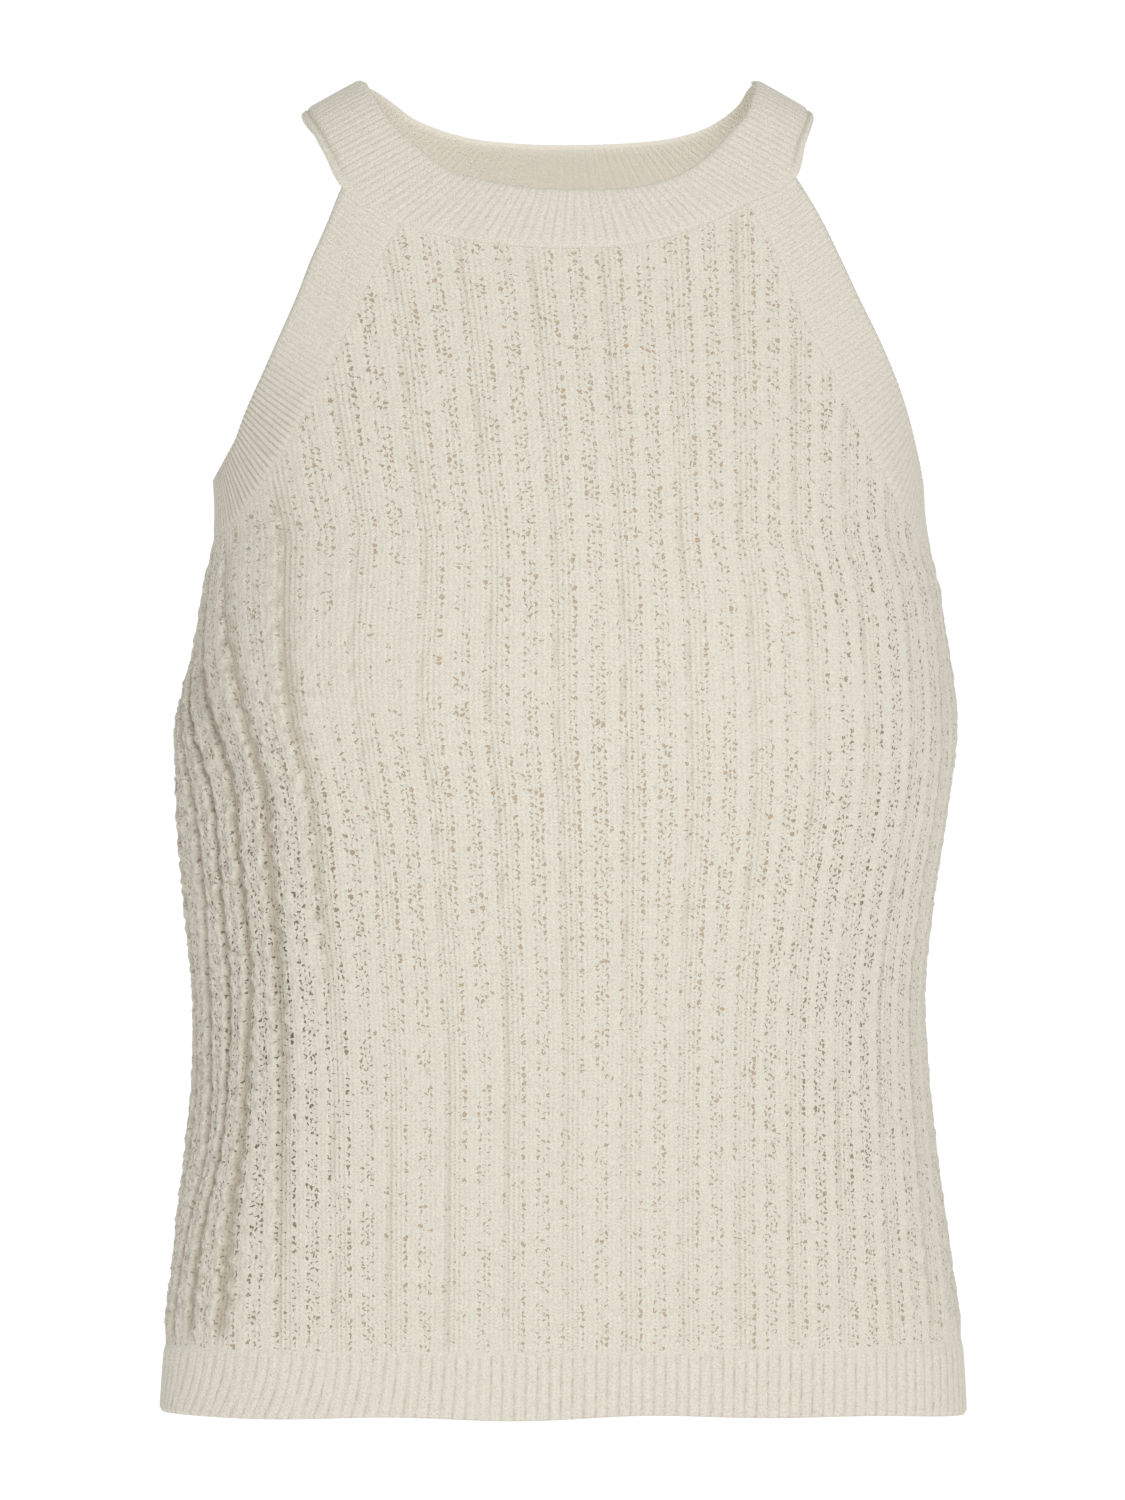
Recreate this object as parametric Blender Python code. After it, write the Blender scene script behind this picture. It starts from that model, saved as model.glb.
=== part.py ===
"""A sleeveless knitted halter-neck top, filled out as if worn, made of eight knitted pieces.

Metres, +Z up, and the front faces -Y. The origin lies midway between the crests of the two
shoulder straps, where a wearer's shoulders carry the top. The cloth is a thin wall on one
body form: a stack of rounded rings. A place on the form is a turn and a height. The turn
runs along a ring from the middle of the front (or of the back), 0, to the side: -1 on the
picture's left and 1 on its right.
"""

import math
from collections import namedtuple

import bmesh
import bpy
import numpy as np

# --- Driving sizes, in metres ----------------------------------------------------------

HEM_TOP = -0.5187  # where the hem rib meets the body
HEM_FOOT = -0.5467  # the lowest edge
UNDERARM = -0.1850  # the armhole seam at the left side
RIGHT_UNDERARM = -0.1925
WALL = 0.0020  # cloth between the stitches' ridges
SEAM_GAP = 0.0005  # between a panel and the band sewn to it
STEEPEST = 3.5  # the gap above grows with the seam's slope up to this factor
END_GAP = 0.0008  # between a band's end and the neckband, whose seam curves across it
JOIN_GAP = 0.0003  # between the other pieces

REPEATS = 16  # repeats of the cable stitch across one panel
WALE_SPREAD = 0.036  # how much wider a repeat grows for each metre above the underarm
CABLE_RIDGE = 0.0013
PLAIN_RIDGE = 0.0007
VALLEY = 0.0001
RIB_RIDGE = 0.0008
HEM_RIBS = 80  # on each half of the hem
NECK_RIBS = 88  # on each half of the neckband
ARMHOLE_RIBS = 90
PANEL_ROWS = 14
PANEL_INNER_ROWS = 7

SQUARENESS = 0.023  # how far a ring's shoulders stand out from an ellipse
HEM_WAVE = 0.0009  # how far the hem's edge rises and falls
HEM_WAVES = 3.5
HEM_DIP = 0.0034  # how much lower the hem hangs towards its right side
HEM_DIP_START = 0.35  # the turn where that begins
FOLD_ENDS = 12  # how sharply a fold runs out at its ends
END_FADE = 0.15  # the part of an armhole band over which the cut of its end fades out

FORM_STEP = 0.0005  # for slopes on the form
CURVE_STEPS = 1200  # for lengths along a curve on the form
NECK_STEPS = 200
ARMHOLE_STEPS = 400

YARN = (0.800, 0.770, 0.700)
RIB_YARN = (0.790, 0.755, 0.685)

Ring = namedtuple("Ring", "height centre half_width front back")
Place = namedtuple("Place", "turn height")
Fold = namedtuple("Fold", "name back start end half_width rise")
Armhole = namedtuple("Armhole", "seam edge")

# The inside of the cloth at each height: how far the ring's middle lies to the right, half
# its width, and the depth before and behind the side line.
RINGS = (
    Ring(+0.0122, -0.0006, 0.0668, 0.0340, 0.0360),
    Ring(+0.0052, -0.0007, 0.0808, 0.0370, 0.0400),
    Ring(-0.0018, -0.0008, 0.0937, 0.0400, 0.0440),
    Ring(-0.0088, -0.0009, 0.1056, 0.0430, 0.0480),
    Ring(-0.0200, -0.0013, 0.1183, 0.0470, 0.0540),
    Ring(-0.0360, -0.0015, 0.1300, 0.0535, 0.0610),
    Ring(-0.0510, -0.0012, 0.1380, 0.0600, 0.0665),
    Ring(-0.0660, -0.0008, 0.1425, 0.0665, 0.0710),
    Ring(-0.0860, +0.0000, 0.1455, 0.0745, 0.0765),
    Ring(-0.1240, +0.0014, 0.1470, 0.0880, 0.0840),
    Ring(-0.1500, +0.0024, 0.1463, 0.0950, 0.0880),
    Ring(-0.1780, +0.0035, 0.1462, 0.0995, 0.0900),
    Ring(-0.2100, +0.0045, 0.1521, 0.1020, 0.0905),
    Ring(-0.2350, +0.0035, 0.1569, 0.1020, 0.0900),
    Ring(-0.2600, +0.0025, 0.1602, 0.1005, 0.0890),
    Ring(-0.2930, +0.0013, 0.1581, 0.0965, 0.0865),
    Ring(-0.3350, -0.0008, 0.1538, 0.0905, 0.0825),
    Ring(-0.3750, -0.0009, 0.1502, 0.0850, 0.0785),
    Ring(-0.4050, -0.0003, 0.1509, 0.0810, 0.0755),
    Ring(-0.4400, +0.0000, 0.1545, 0.0760, 0.0725),
    Ring(-0.4800, +0.0004, 0.1596, 0.0700, 0.0700),
    Ring(-0.5220, +0.0010, 0.1649, 0.0640, 0.0675),
    Ring(-0.5600, +0.0008, 0.1673, 0.0605, 0.0660),
)

# Edges and seams of the neckband, from the crest of the left strap to that of the right.
FRONT_NECK_EDGE = (
    Place(-1.000, +0.0045),
    Place(-0.870, +0.0027),
    Place(-0.657, -0.0075),
    Place(-0.539, -0.0169),
    Place(-0.456, -0.0241),
    Place(-0.348, -0.0338),
    Place(-0.251, -0.0384),
    Place(-0.145, -0.0413),
    Place(+0.020, -0.0424),
    Place(+0.197, -0.0401),
    Place(+0.286, -0.0357),
    Place(+0.395, -0.0266),
    Place(+0.516, -0.0154),
    Place(+0.592, -0.0095),
    Place(+0.686, -0.0032),
    Place(+0.850, +0.0037),
    Place(+1.000, +0.0058),
)
LEFT_NOTCH = Place(-0.611, -0.0416)
LEFT_CORNER = Place(-0.432, -0.0585)
RIGHT_CORNER = Place(+0.440, -0.0483)
RIGHT_NOTCH = Place(+0.618, -0.0360)
FRONT_NECK_SEAM = (
    Place(-1.000, -0.0097),
    Place(-0.910, -0.0122),
    Place(-0.797, -0.0187),
    Place(-0.720, -0.0263),
    LEFT_NOTCH,
    Place(-0.512, -0.0512),
    LEFT_CORNER,
    Place(-0.340, -0.0622),
    Place(-0.190, -0.0664),
    Place(-0.020, -0.0678),
    Place(+0.167, -0.0649),
    Place(+0.297, -0.0583),
    RIGHT_CORNER,
    Place(+0.545, -0.0424),
    RIGHT_NOTCH,
    Place(+0.726, -0.0211),
    Place(+0.823, -0.0133),
    Place(+0.920, -0.0092),
    Place(+1.000, -0.0078),
)
BACK_NECK_EDGE = (
    Place(-1.000, +0.0045),
    Place(-0.860, +0.0038),
    Place(-0.683, +0.0010),
    Place(-0.550, -0.0035),
    Place(-0.468, -0.0072),
    Place(-0.382, -0.0105),
    Place(-0.307, -0.0131),
    Place(-0.192, -0.0159),
    Place(-0.079, -0.0171),
    Place(+0.100, -0.0174),
    Place(+0.287, -0.0163),
    Place(+0.397, -0.0146),
    Place(+0.508, -0.0111),
    Place(+0.605, -0.0067),
    Place(+0.701, -0.0024),
    Place(+0.820, +0.0025),
    Place(+1.000, +0.0058),
)
BACK_NOTCH = Place(0.545, -0.0313)
BACK_CORNER = Place(0.345, -0.0414)
BACK_NECK_SEAM = (
    Place(-1.000, -0.0097),
    Place(-0.886, -0.0112),
    Place(-0.663, -0.0210),
    Place(-BACK_NOTCH.turn, BACK_NOTCH.height),
    Place(-BACK_CORNER.turn, BACK_CORNER.height),
    Place(-0.250, -0.0435),
    Place(-0.130, -0.0448),
    Place(+0.000, -0.0452),
    Place(+0.130, -0.0448),
    Place(+0.250, -0.0435),
    BACK_CORNER,
    BACK_NOTCH,
    Place(+0.663, -0.0205),
    Place(+0.886, -0.0096),
    Place(+1.000, -0.0078),
)

# Each armhole, from the neckband down to the side under the arm. Here the turns are counted
# towards the side on both sides of the body.
LEFT_FRONT = Armhole(
    seam=(
        Place(-LEFT_CORNER.turn, LEFT_CORNER.height),
        Place(0.475, -0.0750),
        Place(0.505, -0.0907),
        Place(0.543, -0.1082),
        Place(0.590, -0.1276),
        Place(0.626, -0.1385),
        Place(0.682, -0.1532),
        Place(0.760, -0.1683),
        Place(0.830, -0.1778),
        Place(0.905, -0.1830),
        Place(1.000, UNDERARM),
    ),
    edge=(
        Place(-LEFT_NOTCH.turn, LEFT_NOTCH.height),
        Place(0.616, -0.0561),
        Place(0.638, -0.0725),
        Place(0.663, -0.0888),
        Place(0.699, -0.1049),
        Place(0.744, -0.1210),
        Place(0.790, -0.1335),
        Place(0.838, -0.1450),
        Place(0.905, -0.1550),
        Place(1.000, -0.1590),
    ),
)
RIGHT_FRONT = Armhole(
    seam=(
        RIGHT_CORNER,
        Place(0.475, -0.0720),
        Place(0.497, -0.0947),
        Place(0.539, -0.1155),
        Place(0.585, -0.1362),
        Place(0.622, -0.1507),
        Place(0.677, -0.1640),
        Place(0.735, -0.1766),
        Place(0.810, -0.1866),
        Place(0.900, -0.1915),
        Place(1.000, RIGHT_UNDERARM),
    ),
    edge=(
        RIGHT_NOTCH,
        Place(0.631, -0.0546),
        Place(0.646, -0.0711),
        Place(0.669, -0.0875),
        Place(0.705, -0.1037),
        Place(0.748, -0.1198),
        Place(0.790, -0.1345),
        Place(0.835, -0.1485),
        Place(0.905, -0.1610),
        Place(1.000, -0.1660),
    ),
)
LEFT_BACK = Armhole(
    seam=(
        BACK_CORNER,
        Place(0.370, -0.0541),
        Place(0.389, -0.0666),
        Place(0.415, -0.0833),
        Place(0.446, -0.1000),
        Place(0.485, -0.1169),
        Place(0.525, -0.1310),
        Place(0.568, -0.1440),
        Place(0.618, -0.1565),
        Place(0.685, -0.1680),
        Place(0.775, -0.1775),
        Place(0.880, -0.1830),
        Place(1.000, UNDERARM),
    ),
    edge=(
        BACK_NOTCH,
        Place(0.528, -0.0419),
        Place(0.531, -0.0541),
        Place(0.545, -0.0666),
        Place(0.574, -0.0833),
        Place(0.612, -0.1000),
        Place(0.660, -0.1169),
        Place(0.710, -0.1300),
        Place(0.755, -0.1395),
        Place(0.801, -0.1468),
        Place(0.854, -0.1532),
        Place(0.920, -0.1577),
        Place(1.000, -0.1590),
    ),
)
RIGHT_BACK = Armhole(
    seam=(
        *LEFT_BACK.seam[:-3],
        Place(0.775, -0.1800),
        Place(0.880, -0.1890),
        Place(1.000, RIGHT_UNDERARM),
    ),
    edge=(
        *LEFT_BACK.edge[:-3],
        Place(0.850, -0.1560),
        Place(0.920, -0.1640),
        Place(1.000, -0.1660),
    ),
)

# Soft folds: a line across a panel from start to end. A rise below 0 is a trough.
FOLDS = (
    Fold("left underarm crease", False, (-0.99, -0.226), (-0.68, -0.296), 0.012, -0.0032),
    Fold("left side swell", False, (-0.98, -0.262), (-0.84, -0.345), 0.020, +0.0018),
    Fold("right underarm crease", False, (0.98, -0.205), (0.78, -0.268), 0.015, -0.0014),
    Fold("left back crease", True, (-0.98, -0.228), (-0.66, -0.300), 0.014, -0.0026),
    Fold("right back crease", True, (0.98, -0.212), (0.70, -0.290), 0.014, -0.0024),
    Fold("back waist drop", True, (-0.30, -0.345), (0.34, -0.365), 0.024, -0.0020),
)


# --- The body form ---------------------------------------------------------------------


def through(rows, column, at):
    """The value of a table's column at each height, on a smooth curve through its rows."""
    rows = sorted(rows)
    heights = np.array([row.height for row in rows])
    values = np.array([getattr(row, column) for row in rows])
    slopes = np.gradient(values, heights)
    k = np.clip(np.searchsorted(heights, at) - 1, 0, len(rows) - 2)
    step = heights[k + 1] - heights[k]
    t = np.clip((at - heights[k]) / step, 0, 1)
    start = (2 * t**3 - 3 * t**2 + 1) * values[k] + (t**3 - 2 * t**2 + t) * step * slopes[k]
    end = (3 * t**2 - 2 * t**3) * values[k + 1] + (t**3 - t**2) * step * slopes[k + 1]
    return start + end


def quarter_ring(angle):
    """Across and along, each from 0 to 1, on a quarter of a ring, from its middle outwards."""
    across = (np.sin(angle) + SQUARENESS * np.sin(3 * angle)) / (1 - SQUARENESS)
    along = (np.cos(angle) - SQUARENESS * np.cos(3 * angle)) / (1 - SQUARENESS)
    return across, along


class RingTable:
    """Turns along a ring into angles, for rings from flat to round."""

    flattest, roundest, kinds, steps, fine_steps = 0.08, 1.0, 93, 400, 720

    def __init__(self):
        angles = np.linspace(0, math.pi / 2, self.fine_steps + 1)
        across, along = quarter_ring(angles)
        turns = np.linspace(0, 1, self.steps + 1)
        self.angles, self.lengths = [], []
        for ratio in np.linspace(self.flattest, self.roundest, self.kinds):
            pieces = np.hypot(np.diff(across), ratio * np.diff(along))
            arc = np.concatenate([[0], np.cumsum(pieces)])
            self.angles.append(np.interp(turns * arc[-1], arc, angles))
            self.lengths.append(arc[-1])
        self.angles = np.array(self.angles)
        self.lengths = np.array(self.lengths)

    def place(self, ratio):
        spot = (ratio - self.flattest) / (self.roundest - self.flattest) * (self.kinds - 1)
        row = np.clip(spot.astype(int), 0, self.kinds - 2)
        return row, spot - row

    def angle(self, turn, ratio):
        row, part = self.place(ratio)
        spot = np.clip(turn, 0, 1) * self.steps
        column = np.clip(spot.astype(int), 0, self.steps - 1)
        rest = spot - column
        low = self.angles[row, column] * (1 - rest) + self.angles[row, column + 1] * rest
        high = self.angles[row + 1, column] * (1 - rest) + self.angles[row + 1, column + 1] * rest
        return low * (1 - part) + high * part

    def length(self, ratio):
        row, part = self.place(ratio)
        return self.lengths[row] * (1 - part) + self.lengths[row + 1] * part


RING_TABLE = RingTable()


def half_ring(height, back):
    """Half a ring's length, from its middle to the side."""
    width = through(RINGS, "half_width", height)
    depth = through(RINGS, "back" if back else "front", height)
    return width * RING_TABLE.length(depth / width)


def bare_form(turn, height, back):
    """Points on the form without its folds."""
    width = through(RINGS, "half_width", height)
    depth = through(RINGS, "back" if back else "front", height)
    across, along = quarter_ring(RING_TABLE.angle(np.abs(turn), depth / width))
    x = through(RINGS, "centre", height) + np.sign(turn) * width * across
    return np.stack([x, (1 if back else -1) * depth * along, height], axis=-1)


def form_normals(turn, height, back):
    """The directions straight out of the form."""
    inward = np.where(np.abs(turn) > 0.5, -np.sign(turn), 1.0)
    here = bare_form(turn, height, back)
    beside = bare_form(turn + inward * 2 * FORM_STEP, height, back)
    along = (beside - here) * inward[:, None]
    above = bare_form(turn, height + FORM_STEP, back)
    up = above - bare_form(turn, height - FORM_STEP, back)
    out = np.cross(along, up) * (-1 if back else 1)
    return out / np.linalg.norm(out, axis=1, keepdims=True)


def fold_rise(turn, height, back):
    """How far the folds lift the cloth off the form."""
    rise = np.zeros_like(turn)
    reach = half_ring(height, back)
    for fold in FOLDS:
        if fold.back != back:
            continue
        start = np.array([fold.start[0], fold.start[1]])
        end = np.array([fold.end[0], fold.end[1]])
        run = np.stack([(turn - start[0]) * reach, height - start[1]])
        line = np.stack([(end[0] - start[0]) * reach, np.full_like(reach, end[1] - start[1])])
        length = np.hypot(*line)
        along = (run * line).sum(axis=0) / length**2
        aside = (run[0] * line[1] - run[1] * line[0]) / length
        ends = 1 / (1 + np.exp(-FOLD_ENDS * along)) / (1 + np.exp(FOLD_ENDS * (along - 1)))
        rise += fold.rise * ends * np.exp(-((aside / fold.half_width) ** 2))
    return rise


def cloth(turn, height, back, out):
    """Points of the cloth, out metres from the inside face."""
    turn, height, out = (np.asarray(a, float).ravel() for a in np.broadcast_arrays(turn, height, out))
    lift = fold_rise(turn, height, back) + out
    return bare_form(turn, height, back) + form_normals(turn, height, back) * lift[:, None]


# --- Curves on the form ----------------------------------------------------------------


def lengths_along(points):
    """How far each point lies from the first, along the line through them."""
    return np.concatenate([[0], np.cumsum(np.linalg.norm(np.diff(points, axis=0), axis=1))])


def spaced(places, back, count):
    """Count places, evenly spaced in space, on a smooth curve through a table of places."""
    table = np.array(places)
    chord = lengths_along(cloth(table[:, 0], table[:, 1], back, 0.0))
    slopes = np.gradient(table, chord, axis=0)
    fine = np.linspace(0, chord[-1], CURVE_STEPS + 1)
    k = np.clip(np.searchsorted(chord, fine) - 1, 0, len(chord) - 2)
    step = (chord[k + 1] - chord[k])[:, None]
    t = ((fine - chord[k])[:, None]) / step
    curve = (2 * t**3 - 3 * t**2 + 1) * table[k] + (t**3 - 2 * t**2 + t) * step * slopes[k]
    curve += (3 * t**2 - 2 * t**3) * table[k + 1] + (t**3 - t**2) * step * slopes[k + 1]
    curve[:, 0] = np.clip(curve[:, 0], -1, 1)
    length = lengths_along(cloth(curve[:, 0], curve[:, 1], back, 0.0))
    at = np.linspace(0, length[-1], count)
    return np.stack([np.interp(at, length, curve[:, i]) for i in (0, 1)], axis=1)


def wale_pitch(height, back):
    """The width of one repeat. Above the underarm the repeats spread towards the neck."""
    below = half_ring(np.minimum(height, UNDERARM), back) / (REPEATS / 2)
    return below + WALE_SPREAD * np.maximum(height - UNDERARM, 0)


def top_of_panel(neck_seam, armholes, back):
    """The panel's top edge, as wales and heights, SEAM_GAP inside, and its corners' wales."""
    left, right = (spaced(armhole.seam, back, ARMHOLE_STEPS) for armhole in armholes)
    left = left[::-1] * (-1, 1)
    turns = [place.turn for place in neck_seam]
    corners = [int(np.argmin(np.abs(np.array(turns) - run[k, 0]))) for run, k in ((left, -1), (right, 0))]
    neck = spaced(neck_seam[corners[0] : corners[1] + 1], back, NECK_STEPS)
    curve = np.concatenate([left, neck[1:-1], right])
    along = curve[:, 0] * half_ring(curve[:, 1], back)
    wales = along / wale_pitch(curve[:, 1], back)
    tilt = np.hypot(1, np.gradient(curve[:, 1], along))
    ends = (len(left) - 1, len(left) + len(neck) - 2)
    for end, flat in zip(ends, (3, -3)):
        tilt[end - 1 : end + 2] = tilt[end + flat]
    heights = curve[:, 1] - SEAM_GAP * np.minimum(tilt, STEEPEST)
    return wales, heights, [wales[end] for end in ends]


# --- Stitches --------------------------------------------------------------------------

# Across one repeat, from the middle of one cable's valley to the next.
CABLE_STITCH = (
    (0.00, VALLEY),
    (0.21, CABLE_RIDGE),
    (0.45, PLAIN_RIDGE),
    (0.64, VALLEY),
    (0.79, CABLE_RIDGE),
)


def cable_wales():
    """The wales of a panel's columns and how far each stands out."""
    whole = range(-REPEATS // 2, REPEATS // 2)
    columns = [(repeat + part, rise) for repeat in whole for part, rise in CABLE_STITCH]
    columns.append((REPEATS / 2, VALLEY))
    return np.array(columns).T


def rib_rise(count):
    """Ridges and valleys by turns, for count ribs."""
    return np.where(np.arange(2 * count + 1) % 2, RIB_RIDGE, VALLEY)


# --- Walls -----------------------------------------------------------------------------


def rim_of(rows, columns):
    """The indices round a grid's edge, one list for each side, in order."""
    grid = np.arange(rows * columns).reshape(rows, columns)
    return grid[0], grid[:, -1], grid[-1, ::-1], grid[::-1, 0]


def add_grid(mesh, points, rows, columns, outward):
    """A grid of faces, and its vertices."""
    verts = [mesh.verts.new(p) for p in points]
    for r in range(rows - 1):
        for c in range(columns - 1):
            a = r * columns + c
            ring = [verts[a], verts[a + 1], verts[a + columns + 1], verts[a + columns]]
            mesh.faces.new(ring if outward else ring[::-1])
    return verts


def zip_edges(mesh, one, other):
    """Triangles between two runs of vertices that start and end together."""
    past = 2  # later than the end of either run
    i = j = 0
    while i < len(one) - 1 or j < len(other) - 1:
        first = (i + 1) / (len(one) - 1) if i < len(one) - 1 else past
        second = (j + 1) / (len(other) - 1) if j < len(other) - 1 else past
        if first <= second:
            mesh.faces.new([one[i], one[i + 1], other[j]])
            i += 1
        else:
            mesh.faces.new([one[i], other[j + 1], other[j]])
            j += 1


def wall(name, outer, inner, colour, collection):
    """One closed knitted piece from its outer and its plain inner grid of points."""
    mesh = bmesh.new()
    sheets = []
    for points, outward in ((outer, True), (inner, False)):
        rows, columns, _ = points.shape
        verts = add_grid(mesh, points.reshape(-1, 3), rows, columns, outward)
        sheets.append([[verts[k] for k in side] for side in rim_of(rows, columns)])
    for one, other in zip(*sheets):
        zip_edges(mesh, one, other)
    bmesh.ops.triangulate(mesh, faces=mesh.faces)
    bmesh.ops.recalc_face_normals(mesh, faces=mesh.faces)
    if mesh.calc_volume(signed=True) < 0:
        bmesh.ops.reverse_faces(mesh, faces=mesh.faces)
    data = bpy.data.meshes.new(name)
    mesh.to_mesh(data)
    mesh.free()
    data.shade_smooth()
    data.materials.append(knit_material(name, colour))
    piece = bpy.data.objects.new(name, data)
    collection.objects.link(piece)
    return piece


def knit_material(name, colour):
    material = bpy.data.materials.new(name)
    material.use_nodes = True
    shader = material.node_tree.nodes["Principled BSDF"]
    shader.inputs["Base Color"].default_value = (*colour, 1.0)
    shader.inputs["Roughness"].default_value = 0.95
    shader.inputs["Metallic"].default_value = 0.0
    return material


# --- The pieces ------------------------------------------------------------------------


def panel(name, back, collection):
    """The front or the back: wales run up from the hem to the neck and armhole seams."""
    neck_seam = BACK_NECK_SEAM if back else FRONT_NECK_SEAM
    armholes = (LEFT_BACK, RIGHT_BACK) if back else (LEFT_FRONT, RIGHT_FRONT)
    top_wales, top_heights, corners = top_of_panel(neck_seam, armholes, back)
    wales, rises = cable_wales()
    for corner in corners:
        wales[np.argmin(np.abs(wales - corner))] = corner
    edge = REPEATS / 2 - JOIN_GAP / 2 / wale_pitch(np.array([HEM_TOP]), back)[0]
    wales = np.clip(wales, -edge, edge)
    top = np.interp(wales, top_wales, top_heights)
    foot = HEM_TOP + JOIN_GAP

    def sheet(rows, out):
        up = np.linspace(0, 1, rows + 1)[:, None]
        height = foot + (top - foot) * up
        reach = half_ring(height.ravel(), back).reshape(height.shape)
        turn = wales * wale_pitch(height.ravel(), back).reshape(height.shape) / reach
        limit = 1 - JOIN_GAP / 2 / reach
        turn = np.clip(turn, -limit, limit)
        return cloth(turn, height, back, out + 0 * turn).reshape(rows + 1, -1, 3)

    return wall(name, sheet(PANEL_ROWS, WALL + rises), sheet(PANEL_INNER_ROWS, 0.0), YARN, collection)


def hem_rib(name, back, collection):
    """One half of the hem rib. Its foot waves a little."""

    def sheet(columns, out):
        side = 1 - JOIN_GAP / 2 / half_ring(np.array([HEM_TOP]), back)[0]
        turn = np.linspace(-side, side, columns + 1)
        dip = np.clip((turn - HEM_DIP_START) / (1 - HEM_DIP_START), 0, 1)
        foot = HEM_FOOT - HEM_DIP * np.sin(dip * math.pi / 2) ** 2
        foot += HEM_WAVE * np.sin(HEM_WAVES * math.pi * turn) * (1 - turn**2)
        height = np.stack([foot, np.full_like(foot, HEM_TOP)])
        return cloth(turn + 0 * height, height, back, out).reshape(2, -1, 3)

    outer = sheet(2 * HEM_RIBS, WALL + rib_rise(HEM_RIBS))
    return wall(name, outer, sheet(HEM_RIBS // 2, 0.0), RIB_YARN, collection)


def neckband(name, back, collection):
    """One half of the neckband, from the crest of one strap to the crest of the other."""
    edge, seam = (
        (BACK_NECK_EDGE, BACK_NECK_SEAM) if back else (FRONT_NECK_EDGE, FRONT_NECK_SEAM)
    )

    def sheet(columns, out):
        places = np.stack([spaced(line, back, columns + 1) for line in (seam, edge)])
        side = 1 - JOIN_GAP / 2 / half_ring(np.array([seam[-1].height]), back)[0]
        turn = np.clip(places[..., 0], -side, side)
        return cloth(turn, places[..., 1], back, out).reshape(2, -1, 3)

    outer = sheet(2 * NECK_RIBS, WALL + rib_rise(NECK_RIBS))
    return wall(name, outer, sheet(NECK_RIBS, 0.0), RIB_YARN, collection)


def armhole_half(armhole, side, back, columns):
    """Places on one half of an armhole band, from the neckband down to the side."""
    inner = spaced(armhole.seam, back, columns)
    outer = spaced(armhole.edge, back, columns)
    places = np.stack([inner, (inner + outer) / 2, outer])
    places[:, :, 0] *= side
    # The top end is cut along the neckband's seam, and that cut fades out down the band.
    neck_seam = spaced(BACK_NECK_SEAM if back else FRONT_NECK_SEAM, back, ARMHOLE_STEPS)
    cut = np.interp(places[:, 0, 0], neck_seam[:, 0], neck_seam[:, 1]) - END_GAP
    fade = np.clip(1 - np.arange(columns) / (columns * END_FADE), 0, 1)
    places[:, :, 1] += (cut - places[:, 0, 1])[:, None] * fade
    return places


def armhole_band(name, side, halves, collection):
    """One armhole band: down the front, under the arm and up the back."""

    def sheet(columns, out):
        runs = []
        for armhole, back in zip(halves, (False, True)):
            places = armhole_half(armhole, side, back, columns // 2 + 1)
            points = cloth(places[..., 0], places[..., 1], back, out[: columns // 2 + 1])
            runs.append(points.reshape(3, -1, 3))
        front, behind = runs
        return np.concatenate([front, behind[:, -2::-1]], axis=1)[:, ::side]

    outer = sheet(2 * ARMHOLE_RIBS, WALL + rib_rise(ARMHOLE_RIBS))
    inner = sheet(ARMHOLE_RIBS, np.zeros(ARMHOLE_RIBS + 1))
    return wall(name, outer, inner, RIB_YARN, collection)


def clear_scene():
    for leftover in list(bpy.data.objects):
        bpy.data.objects.remove(leftover, do_unlink=True)


def main():
    clear_scene()
    garment = bpy.data.collections.new("halter_neck_top")
    bpy.context.scene.collection.children.link(garment)
    panel("front_panel", False, garment)
    panel("back_panel", True, garment)
    hem_rib("hem_rib_front", False, garment)
    hem_rib("hem_rib_back", True, garment)
    neckband("neckband_front", False, garment)
    neckband("neckband_back", True, garment)
    armhole_band("armhole_band_left", -1, (LEFT_FRONT, LEFT_BACK), garment)
    armhole_band("armhole_band_right", 1, (RIGHT_FRONT, RIGHT_BACK), garment)


main()
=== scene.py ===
"""Looks for a sleeveless knitted halter-neck top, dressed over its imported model.

Metres, +Z up, and the front faces -Y. The body form is a stack of rounded rings. A place on
it is a turn, from 0 at the middle of the front or back to -1 and 1 at the sides, and a height.
Each knitted piece is a thin closed wall on that form, with its stitches raised in the mesh and
its yarn in the finish.
"""

import logging
import math
from dataclasses import dataclass, field
from enum import Enum
from functools import partial
from typing import NamedTuple

import bpy
import numpy as np
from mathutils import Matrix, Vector

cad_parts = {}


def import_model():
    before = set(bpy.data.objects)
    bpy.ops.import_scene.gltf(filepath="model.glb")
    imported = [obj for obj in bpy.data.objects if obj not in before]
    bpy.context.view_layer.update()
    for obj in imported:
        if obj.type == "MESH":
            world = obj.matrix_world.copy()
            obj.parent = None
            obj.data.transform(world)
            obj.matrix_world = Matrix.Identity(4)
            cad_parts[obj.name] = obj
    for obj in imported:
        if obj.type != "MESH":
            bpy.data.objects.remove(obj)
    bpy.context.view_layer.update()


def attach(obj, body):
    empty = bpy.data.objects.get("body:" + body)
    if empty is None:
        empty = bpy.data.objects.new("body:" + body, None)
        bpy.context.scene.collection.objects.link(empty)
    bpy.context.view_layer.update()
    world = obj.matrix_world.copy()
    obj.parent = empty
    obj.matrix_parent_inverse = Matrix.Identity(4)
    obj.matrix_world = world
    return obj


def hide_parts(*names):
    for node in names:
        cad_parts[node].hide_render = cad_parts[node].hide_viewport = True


LOG = logging.getLogger("halter_neck_top")
Array = np.ndarray


class Half(Enum):
    """The two halves that the top is knitted in."""

    FRONT = "front"
    BACK = "back"


class Side(Enum):
    """The sides, as the front is seen."""

    LEFT = -1
    RIGHT = 1


class Ring(NamedTuple):
    """The inside of the cloth at one height."""

    height: float
    centre: float
    half_width: float
    front: float
    back: float


class Place(NamedTuple):
    """A place on the form."""

    turn: float
    height: float


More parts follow.
